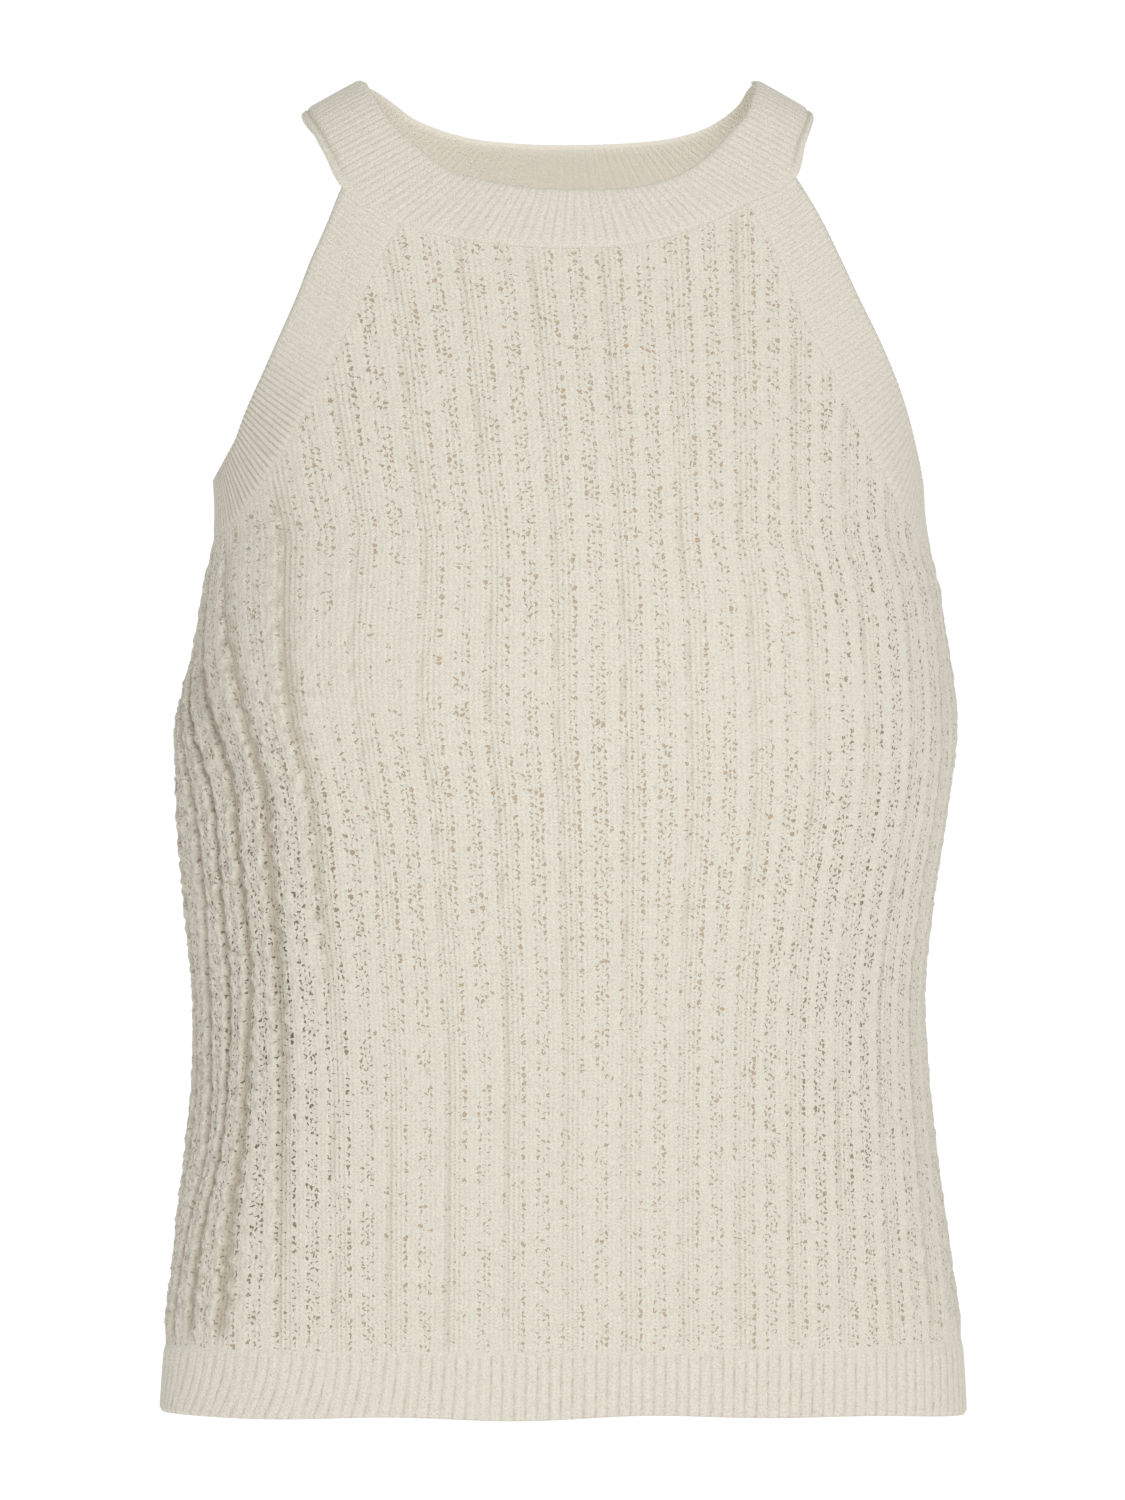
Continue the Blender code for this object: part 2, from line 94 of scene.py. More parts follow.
def route(*places: tuple[float, float]) -> tuple[Place, ...]:
    """A line of places, from turns and heights."""
    return tuple(Place(*place) for place in places)


class Fold(NamedTuple):
    """A soft fold from start to end. A rise below 0 is a trough."""

    half: Half
    start: Place
    end: Place
    half_width: float
    rise: float


class Armhole(NamedTuple):
    """The seam and the free edge of half an armhole band, from the neckband down."""

    seam: tuple[Place, ...]
    edge: tuple[Place, ...]


# --- The cut ---------------------------------------------------------------------------

HEM_TOP = -0.5187
HEM_FOOT = -0.5467
UNDERARM = -0.1850
RIGHT_UNDERARM = -0.1925
REPEATS = 16
REPEAT_WIDTH = 0.0245
# Looks that each piece carries for its finish. Two of them are painted shade: the shade in grooves and in
# the dips between ribs, and the shade seen through the openings. The inside faces are painted lighter, as
# painted light.
LOOKS = ("hollow_shade", "open", "gap_shade_depth", "inside", "gathered")

# How edges are rounded: how far in from the edge, and how deep on it, in metres.
BAND_EDGE = (0.0024, 0.0012)
STRAP_EDGE = (0.0016, 0.0008)
HEM_EDGE = (0.0022, 0.0011)
SEAM_EDGE = (0.0010, 0.0002)
HEM_SEAM_EDGE = (0.0010, 0.0001)

RINGS = (
    Ring(+0.0122, -0.0006, 0.0668, 0.0340, 0.0360),
    Ring(+0.0052, -0.0007, 0.0808, 0.0370, 0.0400),
    Ring(-0.0018, -0.0008, 0.0937, 0.0400, 0.0440),
    Ring(-0.0088, -0.0009, 0.1056, 0.0430, 0.0480),
    Ring(-0.0200, -0.0013, 0.1183, 0.0470, 0.0540),
    Ring(-0.0360, -0.0015, 0.1300, 0.0535, 0.0610),
    Ring(-0.0510, -0.0012, 0.1380, 0.0600, 0.0665),
    Ring(-0.0660, -0.0008, 0.1425, 0.0665, 0.0710),
    Ring(-0.0860, +0.0000, 0.1455, 0.0745, 0.0765),
    Ring(-0.1240, +0.0014, 0.1470, 0.0880, 0.0840),
    Ring(-0.1500, +0.0024, 0.1463, 0.0950, 0.0880),
    Ring(-0.1780, +0.0035, 0.1462, 0.0995, 0.0900),
    Ring(-0.2100, +0.0045, 0.1521, 0.1020, 0.0905),
    Ring(-0.2350, +0.0035, 0.1569, 0.1020, 0.0900),
    Ring(-0.2600, +0.0025, 0.1602, 0.1005, 0.0890),
    Ring(-0.2930, +0.0013, 0.1581, 0.0965, 0.0865),
    Ring(-0.3350, -0.0008, 0.1538, 0.0905, 0.0825),
    Ring(-0.3750, -0.0009, 0.1502, 0.0850, 0.0785),
    Ring(-0.4050, -0.0003, 0.1509, 0.0810, 0.0755),
    Ring(-0.4400, +0.0000, 0.1545, 0.0760, 0.0725),
    Ring(-0.4800, +0.0004, 0.1596, 0.0700, 0.0700),
    Ring(-0.5220, +0.0010, 0.1649, 0.0640, 0.0675),
    Ring(-0.5600, +0.0008, 0.1673, 0.0605, 0.0660),
)

FRONT_NECK_EDGE = route(
    (-1.0, 0.0045), (-0.87, 0.0027), (-0.657, -0.0075), (-0.539, -0.0169), (-0.456, -0.0241),
    (-0.348, -0.0338), (-0.251, -0.0384), (-0.145, -0.0413), (0.02, -0.0424), (0.197, -0.0401),
    (0.286, -0.0357), (0.395, -0.0266), (0.516, -0.0154), (0.592, -0.0095), (0.686, -0.0032),
    (0.85, 0.0037), (1.0, 0.0058),
)
LEFT_NOTCH = Place(-0.611, -0.0416)
LEFT_CORNER = Place(-0.432, -0.0585)
RIGHT_CORNER = Place(+0.440, -0.0483)
RIGHT_NOTCH = Place(+0.618, -0.0360)
FRONT_NECK_SEAM = route(
    (-1.0, -0.0097), (-0.91, -0.0122), (-0.797, -0.0187), (-0.72, -0.0263), LEFT_NOTCH,
    (-0.512, -0.0512), LEFT_CORNER, (-0.34, -0.0622), (-0.19, -0.0664), (-0.02, -0.0678),
    (0.167, -0.0649), (0.297, -0.0583), RIGHT_CORNER, (0.545, -0.0424), RIGHT_NOTCH, (0.726, -0.0211),
    (0.823, -0.0133), (0.92, -0.0092), (1.0, -0.0078),
)
BACK_NECK_EDGE = route(
    (-1.0, 0.0045), (-0.86, 0.0038), (-0.683, 0.001), (-0.55, -0.0035), (-0.468, -0.0072),
    (-0.382, -0.0105), (-0.307, -0.0131), (-0.192, -0.0159), (-0.079, -0.0171), (0.1, -0.0174),
    (0.287, -0.0163), (0.397, -0.0146), (0.508, -0.0111), (0.605, -0.0067), (0.701, -0.0024),
    (0.82, 0.0025), (1.0, 0.0058),
)
BACK_NOTCH = Place(0.545, -0.0313)
BACK_CORNER = Place(0.345, -0.0414)
BACK_NECK_SEAM = route(
    (-1.0, -0.0097), (-0.886, -0.0112), (-0.663, -0.021), (-BACK_NOTCH.turn, BACK_NOTCH.height),
    (-BACK_CORNER.turn, BACK_CORNER.height), (-0.25, -0.0435), (-0.13, -0.0448), (0.0, -0.0452),
    (0.13, -0.0448), (0.25, -0.0435), BACK_CORNER, BACK_NOTCH, (0.663, -0.0205), (0.886, -0.0096),
    (1.0, -0.0078),
)

LEFT_FRONT = Armhole(
    seam=route(
        (-LEFT_CORNER.turn, LEFT_CORNER.height), (0.475, -0.075), (0.505, -0.0907), (0.543, -0.1082),
        (0.59, -0.1276), (0.626, -0.1385), (0.682, -0.1532), (0.76, -0.1683), (0.83, -0.1778),
        (0.905, -0.183), (1.0, UNDERARM),
    ),
    edge=route(
        (-LEFT_NOTCH.turn, LEFT_NOTCH.height), (0.616, -0.0561), (0.638, -0.0725), (0.663, -0.0888),
        (0.699, -0.1049), (0.744, -0.121), (0.79, -0.1335), (0.838, -0.145), (0.905, -0.155),
        (1.0, -0.159),
    ),
)
RIGHT_FRONT = Armhole(
    seam=route(
        RIGHT_CORNER, (0.475, -0.072), (0.497, -0.0947), (0.539, -0.1155), (0.585, -0.1362),
        (0.622, -0.1507), (0.677, -0.164), (0.735, -0.1766), (0.81, -0.1866), (0.9, -0.1915),
        (1.0, RIGHT_UNDERARM),
    ),
    edge=route(
        RIGHT_NOTCH, (0.631, -0.0546), (0.646, -0.0711), (0.669, -0.0875), (0.705, -0.1037),
        (0.748, -0.1198), (0.79, -0.1345), (0.835, -0.1485), (0.905, -0.161), (1.0, -0.166),
    ),
)
LEFT_BACK = Armhole(
    seam=route(
        BACK_CORNER, (0.37, -0.0541), (0.389, -0.0666), (0.415, -0.0833), (0.446, -0.1),
        (0.485, -0.1169), (0.525, -0.131), (0.568, -0.144), (0.618, -0.1565), (0.685, -0.168),
        (0.775, -0.1775), (0.88, -0.183), (1.0, UNDERARM),
    ),
    edge=route(
        BACK_NOTCH, (0.528, -0.0419), (0.531, -0.0541), (0.545, -0.0666), (0.574, -0.0833),
        (0.612, -0.1), (0.66, -0.1169), (0.71, -0.13), (0.755, -0.1395), (0.801, -0.1468),
        (0.854, -0.1532), (0.92, -0.1577), (1.0, -0.159),
    ),
)
RIGHT_BACK = Armhole(
    seam=route(
        *LEFT_BACK.seam[:-3], (0.775, -0.18), (0.88, -0.189), (1.0, RIGHT_UNDERARM),
    ),
    edge=route(
        *LEFT_BACK.edge[:-3], (0.85, -0.156), (0.92, -0.164), (1.0, -0.166),
    ),
)
NECK_EDGES = {Half.FRONT: FRONT_NECK_EDGE, Half.BACK: BACK_NECK_EDGE}
NECK_SEAMS = {Half.FRONT: FRONT_NECK_SEAM, Half.BACK: BACK_NECK_SEAM}
ARMHOLES = {
    (Half.FRONT, Side.LEFT): LEFT_FRONT,
    (Half.FRONT, Side.RIGHT): RIGHT_FRONT,
    (Half.BACK, Side.LEFT): LEFT_BACK,
    (Half.BACK, Side.RIGHT): RIGHT_BACK,
}

FOLDS = (
    Fold(Half.FRONT, Place(-0.99, -0.226), Place(-0.68, -0.296), 0.012, -0.0032),
    Fold(Half.FRONT, Place(-0.98, -0.262), Place(-0.84, -0.345), 0.020, +0.0018),
    Fold(Half.FRONT, Place(0.98, -0.205), Place(0.78, -0.268), 0.015, -0.0014),
    Fold(Half.BACK, Place(-0.98, -0.228), Place(-0.66, -0.300), 0.014, -0.0026),
    Fold(Half.BACK, Place(0.98, -0.212), Place(0.70, -0.290), 0.014, -0.0024),
    Fold(Half.BACK, Place(-0.30, -0.345), Place(0.34, -0.365), 0.024, -0.0020),
)


class Patch(NamedTuple):
    """A soft patch of the knit, where its openings or the painted shade seen through them change."""

    repeat: float
    height: float
    half_repeats: float
    half_height: float
    change: float


# The front's wales: a height, then where each wale of WALE_NUMBERS lies there, in even repeats from the
# middle. The first five follow the deep creases of the gathered left side.
WALE_NUMBERS = (-10.0, -8.67, -7.67, -6.67, -5.67, -4.67, -3.67, -2.67, 0.0, 2.5, 5.0, 8.0)
FRONT_WALES = (
    (-0.515, -8.20, -7.55, -7.06, -6.40, -5.22, -4.25, -3.33, -2.35, 0.36, 2.85, 5.20, 8.0),
    (-0.490, -8.20, -7.50, -7.04, -6.35, -5.25, -4.28, -3.34, -2.35, 0.35, 2.85, 5.20, 8.0),
    (-0.465, -8.10, -7.30, -6.88, -6.30, -5.27, -4.31, -3.35, -2.35, 0.34, 2.85, 5.19, 8.0),
    (-0.440, -8.00, -6.98, -6.62, -6.17, -5.30, -4.34, -3.36, -2.36, 0.33, 2.84, 5.17, 8.0),
    (-0.390, -8.00, -7.06, -6.46, -6.04, -5.32, -4.38, -3.38, -2.37, 0.33, 2.83, 5.14, 8.0),
    (-0.360, -8.00, -7.00, -6.40, -5.88, -5.31, -4.38, -3.38, -2.39, 0.32, 2.83, 5.14, 8.0),
    (-0.335, -8.00, -6.80, -6.35, -5.86, -5.30, -4.40, -3.38, -2.43, 0.28, 2.81, 5.15, 8.0),
    (-0.315, -8.00, -6.86, -6.39, -5.92, -5.33, -4.44, -3.42, -2.47, 0.22, 2.78, 5.15, 8.0),
    (-0.290, -8.10, -7.08, -6.53, -6.07, -5.40, -4.52, -3.55, -2.55, 0.13, 2.72, 5.15, 8.0),
    (-0.265, -8.30, -7.50, -7.15, -6.50, -5.63, -4.75, -3.68, -2.70, 0.05, 2.62, 5.05, 8.0),
    (-0.240, -8.60, -8.30, -7.90, -7.30, -6.05, -5.00, -3.85, -2.78, 0.00, 2.55, 5.00, 8.0),
    (-0.210, -9.00, -8.70, -8.30, -7.80, -6.80, -5.25, -3.97, -2.84, -0.07, 2.50, 4.98, 8.0),
    (-0.165, -9.30, -8.90, -8.50, -8.00, -7.20, -5.40, -3.95, -2.87, -0.07, 2.42, 4.75, 8.0),
    (-0.115, -9.30, -8.90, -8.50, -8.00, -7.00, -5.20, -3.88, -2.76, -0.06, 2.38, 4.60, 8.0),
    (-0.040, -9.30, -8.90, -8.50, -8.00, -7.00, -5.20, -3.80, -2.70, -0.05, 2.35, 4.50, 8.0),
)
# How far in from the left side the front is gathered: even repeats from the middle, and a height.
GATHERED_FROM = (
    (-6.2, -0.515), (-5.8, -0.465), (-5.3, -0.39), (-4.8, -0.34), (-4.95, -0.29), (-4.9, -0.24),
    (-5.2, -0.21), (-5.4, -0.175), (-5.4, -0.12),
)
OPEN_PATCHES = (
    Patch(0.0, -0.120, 4.6, 0.070, +0.12),
    Patch(-3.9, -0.235, 1.5, 0.038, -0.55),
    Patch(3.5, -0.250, 1.4, 0.032, -0.30),
    Patch(-1.0, -0.305, 5.2, 0.045, +0.20),
    Patch(-0.6, -0.455, 3.6, 0.070, -0.22),
    Patch(4.6, -0.360, 1.9, 0.120, +0.22),
    Patch(-5.4, -0.380, 1.4, 0.120, +0.14),
    Patch(7.3, -0.340, 1.2, 0.230, -0.24),
)
# Where more painted shade shows through the front's openings.
GAP_SHADE_PATCHES = (
    Patch(-5.4, -0.390, 1.8, 0.130, +0.80),
    Patch(5.1, -0.350, 1.9, 0.150, +0.60),
    Patch(-3.7, -0.110, 0.9, 0.060, +0.20),
    Patch(4.6, -0.160, 1.2, 0.080, +0.35),
)


# --- The body form ---------------------------------------------------------------------


def smooth(low: float, high: float, at: Array) -> Array:
    """A soft step from 0 at low to 1 at high."""
    t = np.clip((at - low) / (high - low), 0, 1)
    return t * t * (3 - 2 * t)


def lengths_along(points: Array) -> Array:
    """How far each point lies from the first, along the line through them."""
    return np.concatenate([[0], np.cumsum(np.linalg.norm(np.diff(points, axis=0), axis=1))])


def resampled(line: Array, marks: Array, at: Array) -> Array:
    """Points on a line, read at other values of the marks along it."""
    return np.stack([np.interp(at, marks, values) for values in line.T], axis=-1)


def hermite(knots: Array, values: Array, at: Array) -> Array:
    """Values on a smooth curve through a table.

    Args:
        knots: where the table's rows stand, rising.
        values: the table, one row for each knot.
        at: where the curve is read.

    Returns:
        One row for each place in at.
    """
    slopes = np.gradient(values, knots, axis=0)
    k = np.clip(np.searchsorted(knots, at) - 1, 0, len(knots) - 2)
    step = (knots[k + 1] - knots[k])[:, None]
    t = np.clip((at - knots[k])[:, None] / step, 0, 1)
    start = (2 * t**3 - 3 * t**2 + 1) * values[k] + (t**3 - 2 * t**2 + t) * step * slopes[k]
    return start + (3 * t**2 - 2 * t**3) * values[k + 1] + (t**3 - t**2) * step * slopes[k + 1]


@dataclass
class BodyForm:
    """The filled-out form that every knitted piece lies on."""

    squareness: float = 0.023
    flattest: float = 0.08
    roundest: float = 1.0
    kinds: int = 93
    steps: int = 400
    nudge: float = 0.0005
    fold_ends: float = 12
    curve_steps: int = 1200
    wale_spread: float = 0.036

    def __post_init__(self) -> None:
        """Measures quarter rings from flat to round, so that a turn becomes an angle."""
        angles = np.linspace(0, math.pi / 2, 721)
        across, along = self.quarter_ring(angles)
        turns = np.linspace(0, 1, self.steps + 1)
        rows, lengths = [], []
        for ratio in np.linspace(self.flattest, self.roundest, self.kinds):
            arc = np.concatenate([[0], np.cumsum(np.hypot(np.diff(across), ratio * np.diff(along)))])
            rows.append(np.interp(turns * arc[-1], arc, angles))
            lengths.append(arc[-1])
        self.angles, self.lengths = np.array(rows), np.array(lengths)
        rings = sorted(RINGS)
        self.ring_heights = np.array([ring.height for ring in rings])
        self.ring_sizes = np.array([ring[1:] for ring in rings])

    def quarter_ring(self, angle: Array) -> tuple[Array, Array]:
        """Across and along, each from 0 to 1, on a quarter of a ring."""
        across = np.sin(angle) + self.squareness * np.sin(3 * angle)
        along = np.cos(angle) - self.squareness * np.cos(3 * angle)
        return across / (1 - self.squareness), along / (1 - self.squareness)

    def ring(self, height: Array, half: Half) -> tuple[Array, Array, Array]:
        """The middle, half the width and the depth of the ring at each height."""
        sizes = hermite(self.ring_heights, self.ring_sizes, height.ravel()).reshape(*height.shape, -1)
        return sizes[..., 0], sizes[..., 1], sizes[..., 2 if half is Half.FRONT else 3]

    def spot(self, ratio: Array) -> tuple[Array, Array]:
        """The row of the measured quarter rings for a ratio, and the part past it."""
        spot = (ratio - self.flattest) / (self.roundest - self.flattest) * (self.kinds - 1)
        row = np.clip(spot.astype(int), 0, self.kinds - 2)
        return row, spot - row

    def reach(self, height: Array, half: Half) -> Array:
        """Half a ring's length, from its middle to the side."""
        _, width, depth = self.ring(height, half)
        row, part = self.spot(depth / width)
        return width * (self.lengths[row] * (1 - part) + self.lengths[row + 1] * part)

    def bare(self, turn: Array, height: Array, half: Half) -> Array:
        """Points on the form without its folds."""
        centre, width, depth = self.ring(height, half)
        row, part = self.spot(depth / width)
        spot = np.clip(np.abs(turn), 0, 1) * self.steps
        column = np.clip(spot.astype(int), 0, self.steps - 1)
        rest = spot - column
        low = self.angles[row, column] * (1 - rest) + self.angles[row, column + 1] * rest
        high = self.angles[row + 1, column] * (1 - rest) + self.angles[row + 1, column + 1] * rest
        across, along = self.quarter_ring(low * (1 - part) + high * part)
        side = -1 if half is Half.FRONT else 1
        return np.stack([centre + np.sign(turn) * width * across, side * depth * along, height], axis=-1)

    def normals(self, turn: Array, height: Array, half: Half) -> Array:
        """The directions straight out of the form."""
        inward = np.where(np.abs(turn) > 0.5, -np.sign(turn), 1.0)
        here = self.bare(turn, height, half)
        along = (self.bare(turn + inward * 2 * self.nudge, height, half) - here) * inward[:, None]
        up = self.bare(turn, height + self.nudge, half) - self.bare(turn, height - self.nudge, half)
        out = np.cross(along, up) * (1 if half is Half.FRONT else -1)
        return out / np.linalg.norm(out, axis=1, keepdims=True)

    def fold_rise(self, turn: Array, height: Array, half: Half) -> Array:
        """How far the folds lift the cloth off the form."""
        rise = np.zeros_like(turn)
        reach = self.reach(height, half)
        for fold in (fold for fold in FOLDS if fold.half is half):
            run = np.stack([(turn - fold.start.turn) * reach, height - fold.start.height])
            drop = fold.end.height - fold.start.height
            line = np.stack([(fold.end.turn - fold.start.turn) * reach, 0 * reach + drop])
            length = np.hypot(*line)
            along = (run * line).sum(axis=0) / length**2
            aside = (run[0] * line[1] - run[1] * line[0]) / length
            ends = 1 / (1 + np.exp(-self.fold_ends * along)) / (1 + np.exp(self.fold_ends * (along - 1)))
            rise += fold.rise * ends * np.exp(-((aside / fold.half_width) ** 2))
        return rise

    def cloth(self, turn: Array, height: Array, half: Half, out: Array | float) -> Array:
        """Points of the cloth.

        Args:
            turn: along the ring, any shape.
            height: in metres, of a shape that fits turn's.
            half: front or back.
            out: how far from the inside face, in metres.

        Returns:
            Points in rows, with the shape of turn and height together.
        """
        turn, height, out = np.broadcast_arrays(turn, height, out)
        flat = [np.asarray(a, float).ravel() for a in (turn, height, out)]
        lift = self.fold_rise(flat[0], flat[1], half) + flat[2]
        points = self.bare(flat[0], flat[1], half) + self.normals(flat[0], flat[1], half) * lift[:, None]
        return points.reshape(*turn.shape, 3)

    def spaced(self, places: tuple[Place, ...], half: Half, count: int) -> Array:
        """Count places, evenly spaced in space, on a smooth curve through a table of places."""
        table = np.array(places)
        chord = lengths_along(self.cloth(table[:, 0], table[:, 1], half, 0.0))
        curve = hermite(chord, table, np.linspace(0, chord[-1], self.curve_steps + 1))
        curve[:, 0] = np.clip(curve[:, 0], -1, 1)
        length = lengths_along(self.cloth(curve[:, 0], curve[:, 1], half, 0.0))
        return resampled(curve, length, np.linspace(0, length[-1], count))

    def armhole_run(self, half: Half, side: Side, count: int) -> Array:
        """Count places, evenly spaced on half an armhole's seam, from the neck down."""
        return self.spaced(ARMHOLES[half, side].seam, half, count) * (side.value, 1)

    def neck_run(self, half: Half, count: int) -> Array:
        """Count places, evenly spaced on the neck seam from one armhole to the other."""
        turns = [place.turn for place in NECK_SEAMS[half]]
        low, high = (turns.index(side.value * ARMHOLES[half, side].seam[0].turn) for side in Side)
        return self.spaced(NECK_SEAMS[half][low : high + 1], half, count)

    def band_size(self, turn: Array, height: Array, half: Half) -> tuple[Array, float]:
        """How wide a band is at each column, and how long its first row is."""
        ground = self.cloth(turn, height, half, 0.0)
        return np.linalg.norm(ground[-1] - ground[0], axis=-1)[None, :], float(lengths_along(ground[0])[-1])

    def wale_pitch(self, height: Array, half: Half) -> Array:
        """The width of one repeat. Above the underarm the repeats spread towards the neck."""
        below = self.reach(np.minimum(height, UNDERARM), half) / (REPEATS / 2)
        return below + self.wale_spread * np.maximum(height - UNDERARM, 0)


# --- Stitches --------------------------------------------------------------------------


def wander(at: Array, seed: float) -> Array:
    """Soft uneven waves between about -1 and 1, the same in each run."""
    waves = ((1.0, 0.0, 0.5), (2.3, 1.7, 0.3), (4.1, 4.2, 0.2))
    return sum(share * np.sin(pace * at + phase + 7.13 * seed) for pace, phase, share in waves)


@dataclass
class CableStitch:
    """The body's stitch: two lozenge cables, a plain rib and two open valleys in a repeat.

    Stretched, it lies almost flat. Gathered, the plain rib folds in behind its neighbours and
    leaves a deep groove beside each pair of cables.
    """

    wall: float = 0.0020
    lozenge_length: float = 0.0132
    left_cable: float = 0.215
    right_cable: float = 0.780
    left_half: float = 0.092
    right_half: float = 0.108
    sway: float = 0.017
    pinch: float = 0.16
    sink: float = 0.25
    drift: float = 1.9
    cable_rise: float = 0.00050
    plain_from: float = 0.345
    plain_to: float = 0.615
    plain_rise: float = 0.00030
    wale_rise: float = 0.00010
    zigzag_rise: float = 0.00016
    fine_line: float = 0.335
    line_depth: float = 0.00034
    groove_depth: float = 0.00110
    gathered_rise: float = 0.00260
    gathered_cable: float = 0.00055
    knob_length: float = 0.0056
    knob_rise: float = 0.00050

    def cable(self, across: Array, middle: float, half: float, swing: Array) -> Array:
        """A cable that sways and swells, from 0 at its edges to at most 1 at its middle."""
        centre = middle + self.sway * np.sin(swing)
        width = half * (1 - self.pinch + self.pinch * np.cos(swing))
        dome = np.clip(1 - ((across - centre) / width) ** 2, 0, 1) ** 0.7
        return dome * (1 - self.sink + self.sink * np.cos(swing))

    def rise(self, wale: Array, course: Array, gather: Array) -> Array:
        """How far the cloth stands out of its wall.

        Args:
            wale: repeats counted from the middle of the front or back.
            course: metres up from the hem.
            gather: from 0, stretched, to 1, gathered.

        Returns:
            Metres, above and below the wall's plain outside.
        """
        number = np.floor(wale)
        across = wale - number
        swing = 2 * math.pi * course / self.lozenge_length
        left_swing = swing + self.drift * wander(number * 3.1, 0.2)
        right_swing = swing + self.drift * wander(number * 2.3, 0.7) + 1.4
        uneven = 1 + 0.16 * wander(course * 38 + number * 2.0, 1.1)
        cables = np.maximum(
            self.cable(across, self.left_cable, self.left_half, left_swing),
            self.cable(across, self.right_cable, self.right_half, right_swing),
        )
        plain = smooth(self.plain_from - 0.02, self.plain_from + 0.03, across)
        plain *= 1 - smooth(self.plain_to - 0.03, self.plain_to + 0.02, across)
        wales = np.cos(2 * math.pi * (across - self.plain_from) * 3 / (self.plain_to - self.plain_from))
        centred = (across + 0.5) % 1 - 0.5
        zigzag = np.exp(-((centred / 0.09) ** 2)) * np.sin(2 * swing + 30 * centred)
        line = np.exp(-(((across - self.fine_line) / 0.018) ** 2))
        stretched = (
            self.cable_rise * uneven * cables
            + plain * (self.plain_rise - self.wale_rise * wales)
            + self.zigzag_rise * zigzag
            - self.line_depth * line
        )
        past = (across - self.fine_line) % 1
        knob = 2 * math.pi * course / self.knob_length + number * 2.1
        knob = knob + 1.3 * wander(course * 70, number * 0.37)
        low_edge = 0.05 + 0.040 * np.sin(left_swing) + 0.065 * wander(course * 620 + 5 * number, 0.6)
        high_edge = 0.83 + 0.050 * np.sin(left_swing) + 0.070 * wander(course * 520 - 3 * number, 1.7)
        crown = smooth(low_edge, low_edge + 0.27, past) * (1 - smooth(high_edge, high_edge + 0.15, past))
        lumps = 0.5 * np.sin(knob + 9 * across) + wander(course * 700 + 25 * across, number * 0.31)
        gathered = (
            self.gathered_rise * uneven * crown**0.8
            - self.groove_depth
            + self.gathered_cable * cables
            + self.knob_rise * crown * lumps
            + self.zigzag_rise * zigzag
        )
        return stretched + (gathered - stretched) * gather


@dataclass
class RibStitch:
    """One by one rib: wide soft ribs and narrow valleys. Inside, they show the other way round."""

    wall: float = 0.0020
    ridge: float = 0.00062
    flatness: float = 0.42
    sway: float = 0.07
    inner_rise: float = 0.35
    inner_edge: float = 0.6

    def rise(self, rib: Array, course: Array) -> Array:
        """How far a rib stands out of the wall, for places counted in ribs and metres."""
        lean = self.sway * wander(course * 240 + np.floor(rib) * 1.7, 0.4)
        ridge = np.abs(np.sin(math.pi * (rib + lean))) ** self.flatness
        return self.ridge * ridge * (1 + 0.12 * wander(np.floor(rib) * 2.7, 0.9))

    def out(self, rise: Array, edge: Array, outside: bool) -> Array:
        """How far a face of the wall lies from the form, with its edges drawn in."""
        return self.wall + rise - edge if outside else self.inner_edge * edge - self.inner_rise * rise

    def valley_shade(self, rise: Array, shown: Array) -> Array:
        """How deep a place lies between two ribs, from 0 on a rib to 1, for ribs that are shown in part. It
        sets how much painted shade the place gets.
        """
        return np.clip(1 - rise / self.ridge / shown, 0, 1)


# --- Walls -----------------------------------------------------------------------------


class Sheet(NamedTuple):
    """One face of a wall: its points, its place in the knit in metres, and its looks by name."""

    points: Array
    knit: Array
    looks: dict[str, Array | float]


def grid_faces(rows: int, columns: int, first: int, outward: bool) -> Array:
    """The quads of a grid of vertices."""
    index = first + np.arange(rows * columns).reshape(rows, columns)
    corners = (index[:-1, :-1], index[:-1, 1:], index[1:, 1:], index[1:, :-1])
    quads = np.stack(corners, axis=-1).reshape(-1, 4)
    return quads if outward else quads[:, ::-1]


def rim(rows: int, columns: int, first: int) -> list[Array]:
    """The vertices along a grid's four sides, in order round it."""
    index = first + np.arange(rows * columns).reshape(rows, columns)
    return [index[0], index[:, -1], index[-1, ::-1], index[::-1, 0]]


def zip_sides(outer: Array, inner: Array) -> list[tuple[int, int, int]]:
    """Triangles between two runs of vertices that start and end together."""
    faces, i, j = [], 0, 0
    while i < len(outer) - 1 or j < len(inner) - 1:
        first = (i + 1) / (len(outer) - 1) if i < len(outer) - 1 else 2
        second = (j + 1) / (len(inner) - 1) if j < len(inner) - 1 else 2
        if first <= second:
            faces.append((int(outer[i + 1]), int(outer[i]), int(inner[j])))
            i += 1
        else:
            faces.append((int(outer[i]), int(inner[j]), int(inner[j + 1])))
            j += 1
    return faces


def signed_volume(points: Array, quads: Array) -> float:
    """The volume that a closed run of quads holds, below 0 where it is inside out."""
    a, b, c, d = (points[quads[:, k]] for k in range(4))
    return float((np.cross(a, b) * c).sum() + (np.cross(a, c) * d).sum())


def edge_keys(one: Array, other: Array, count: int) -> Array:
    """A number for each edge, whichever way round its two vertices are given."""
    return np.minimum(one, other).astype(np.int64) * count + np.maximum(one, other)


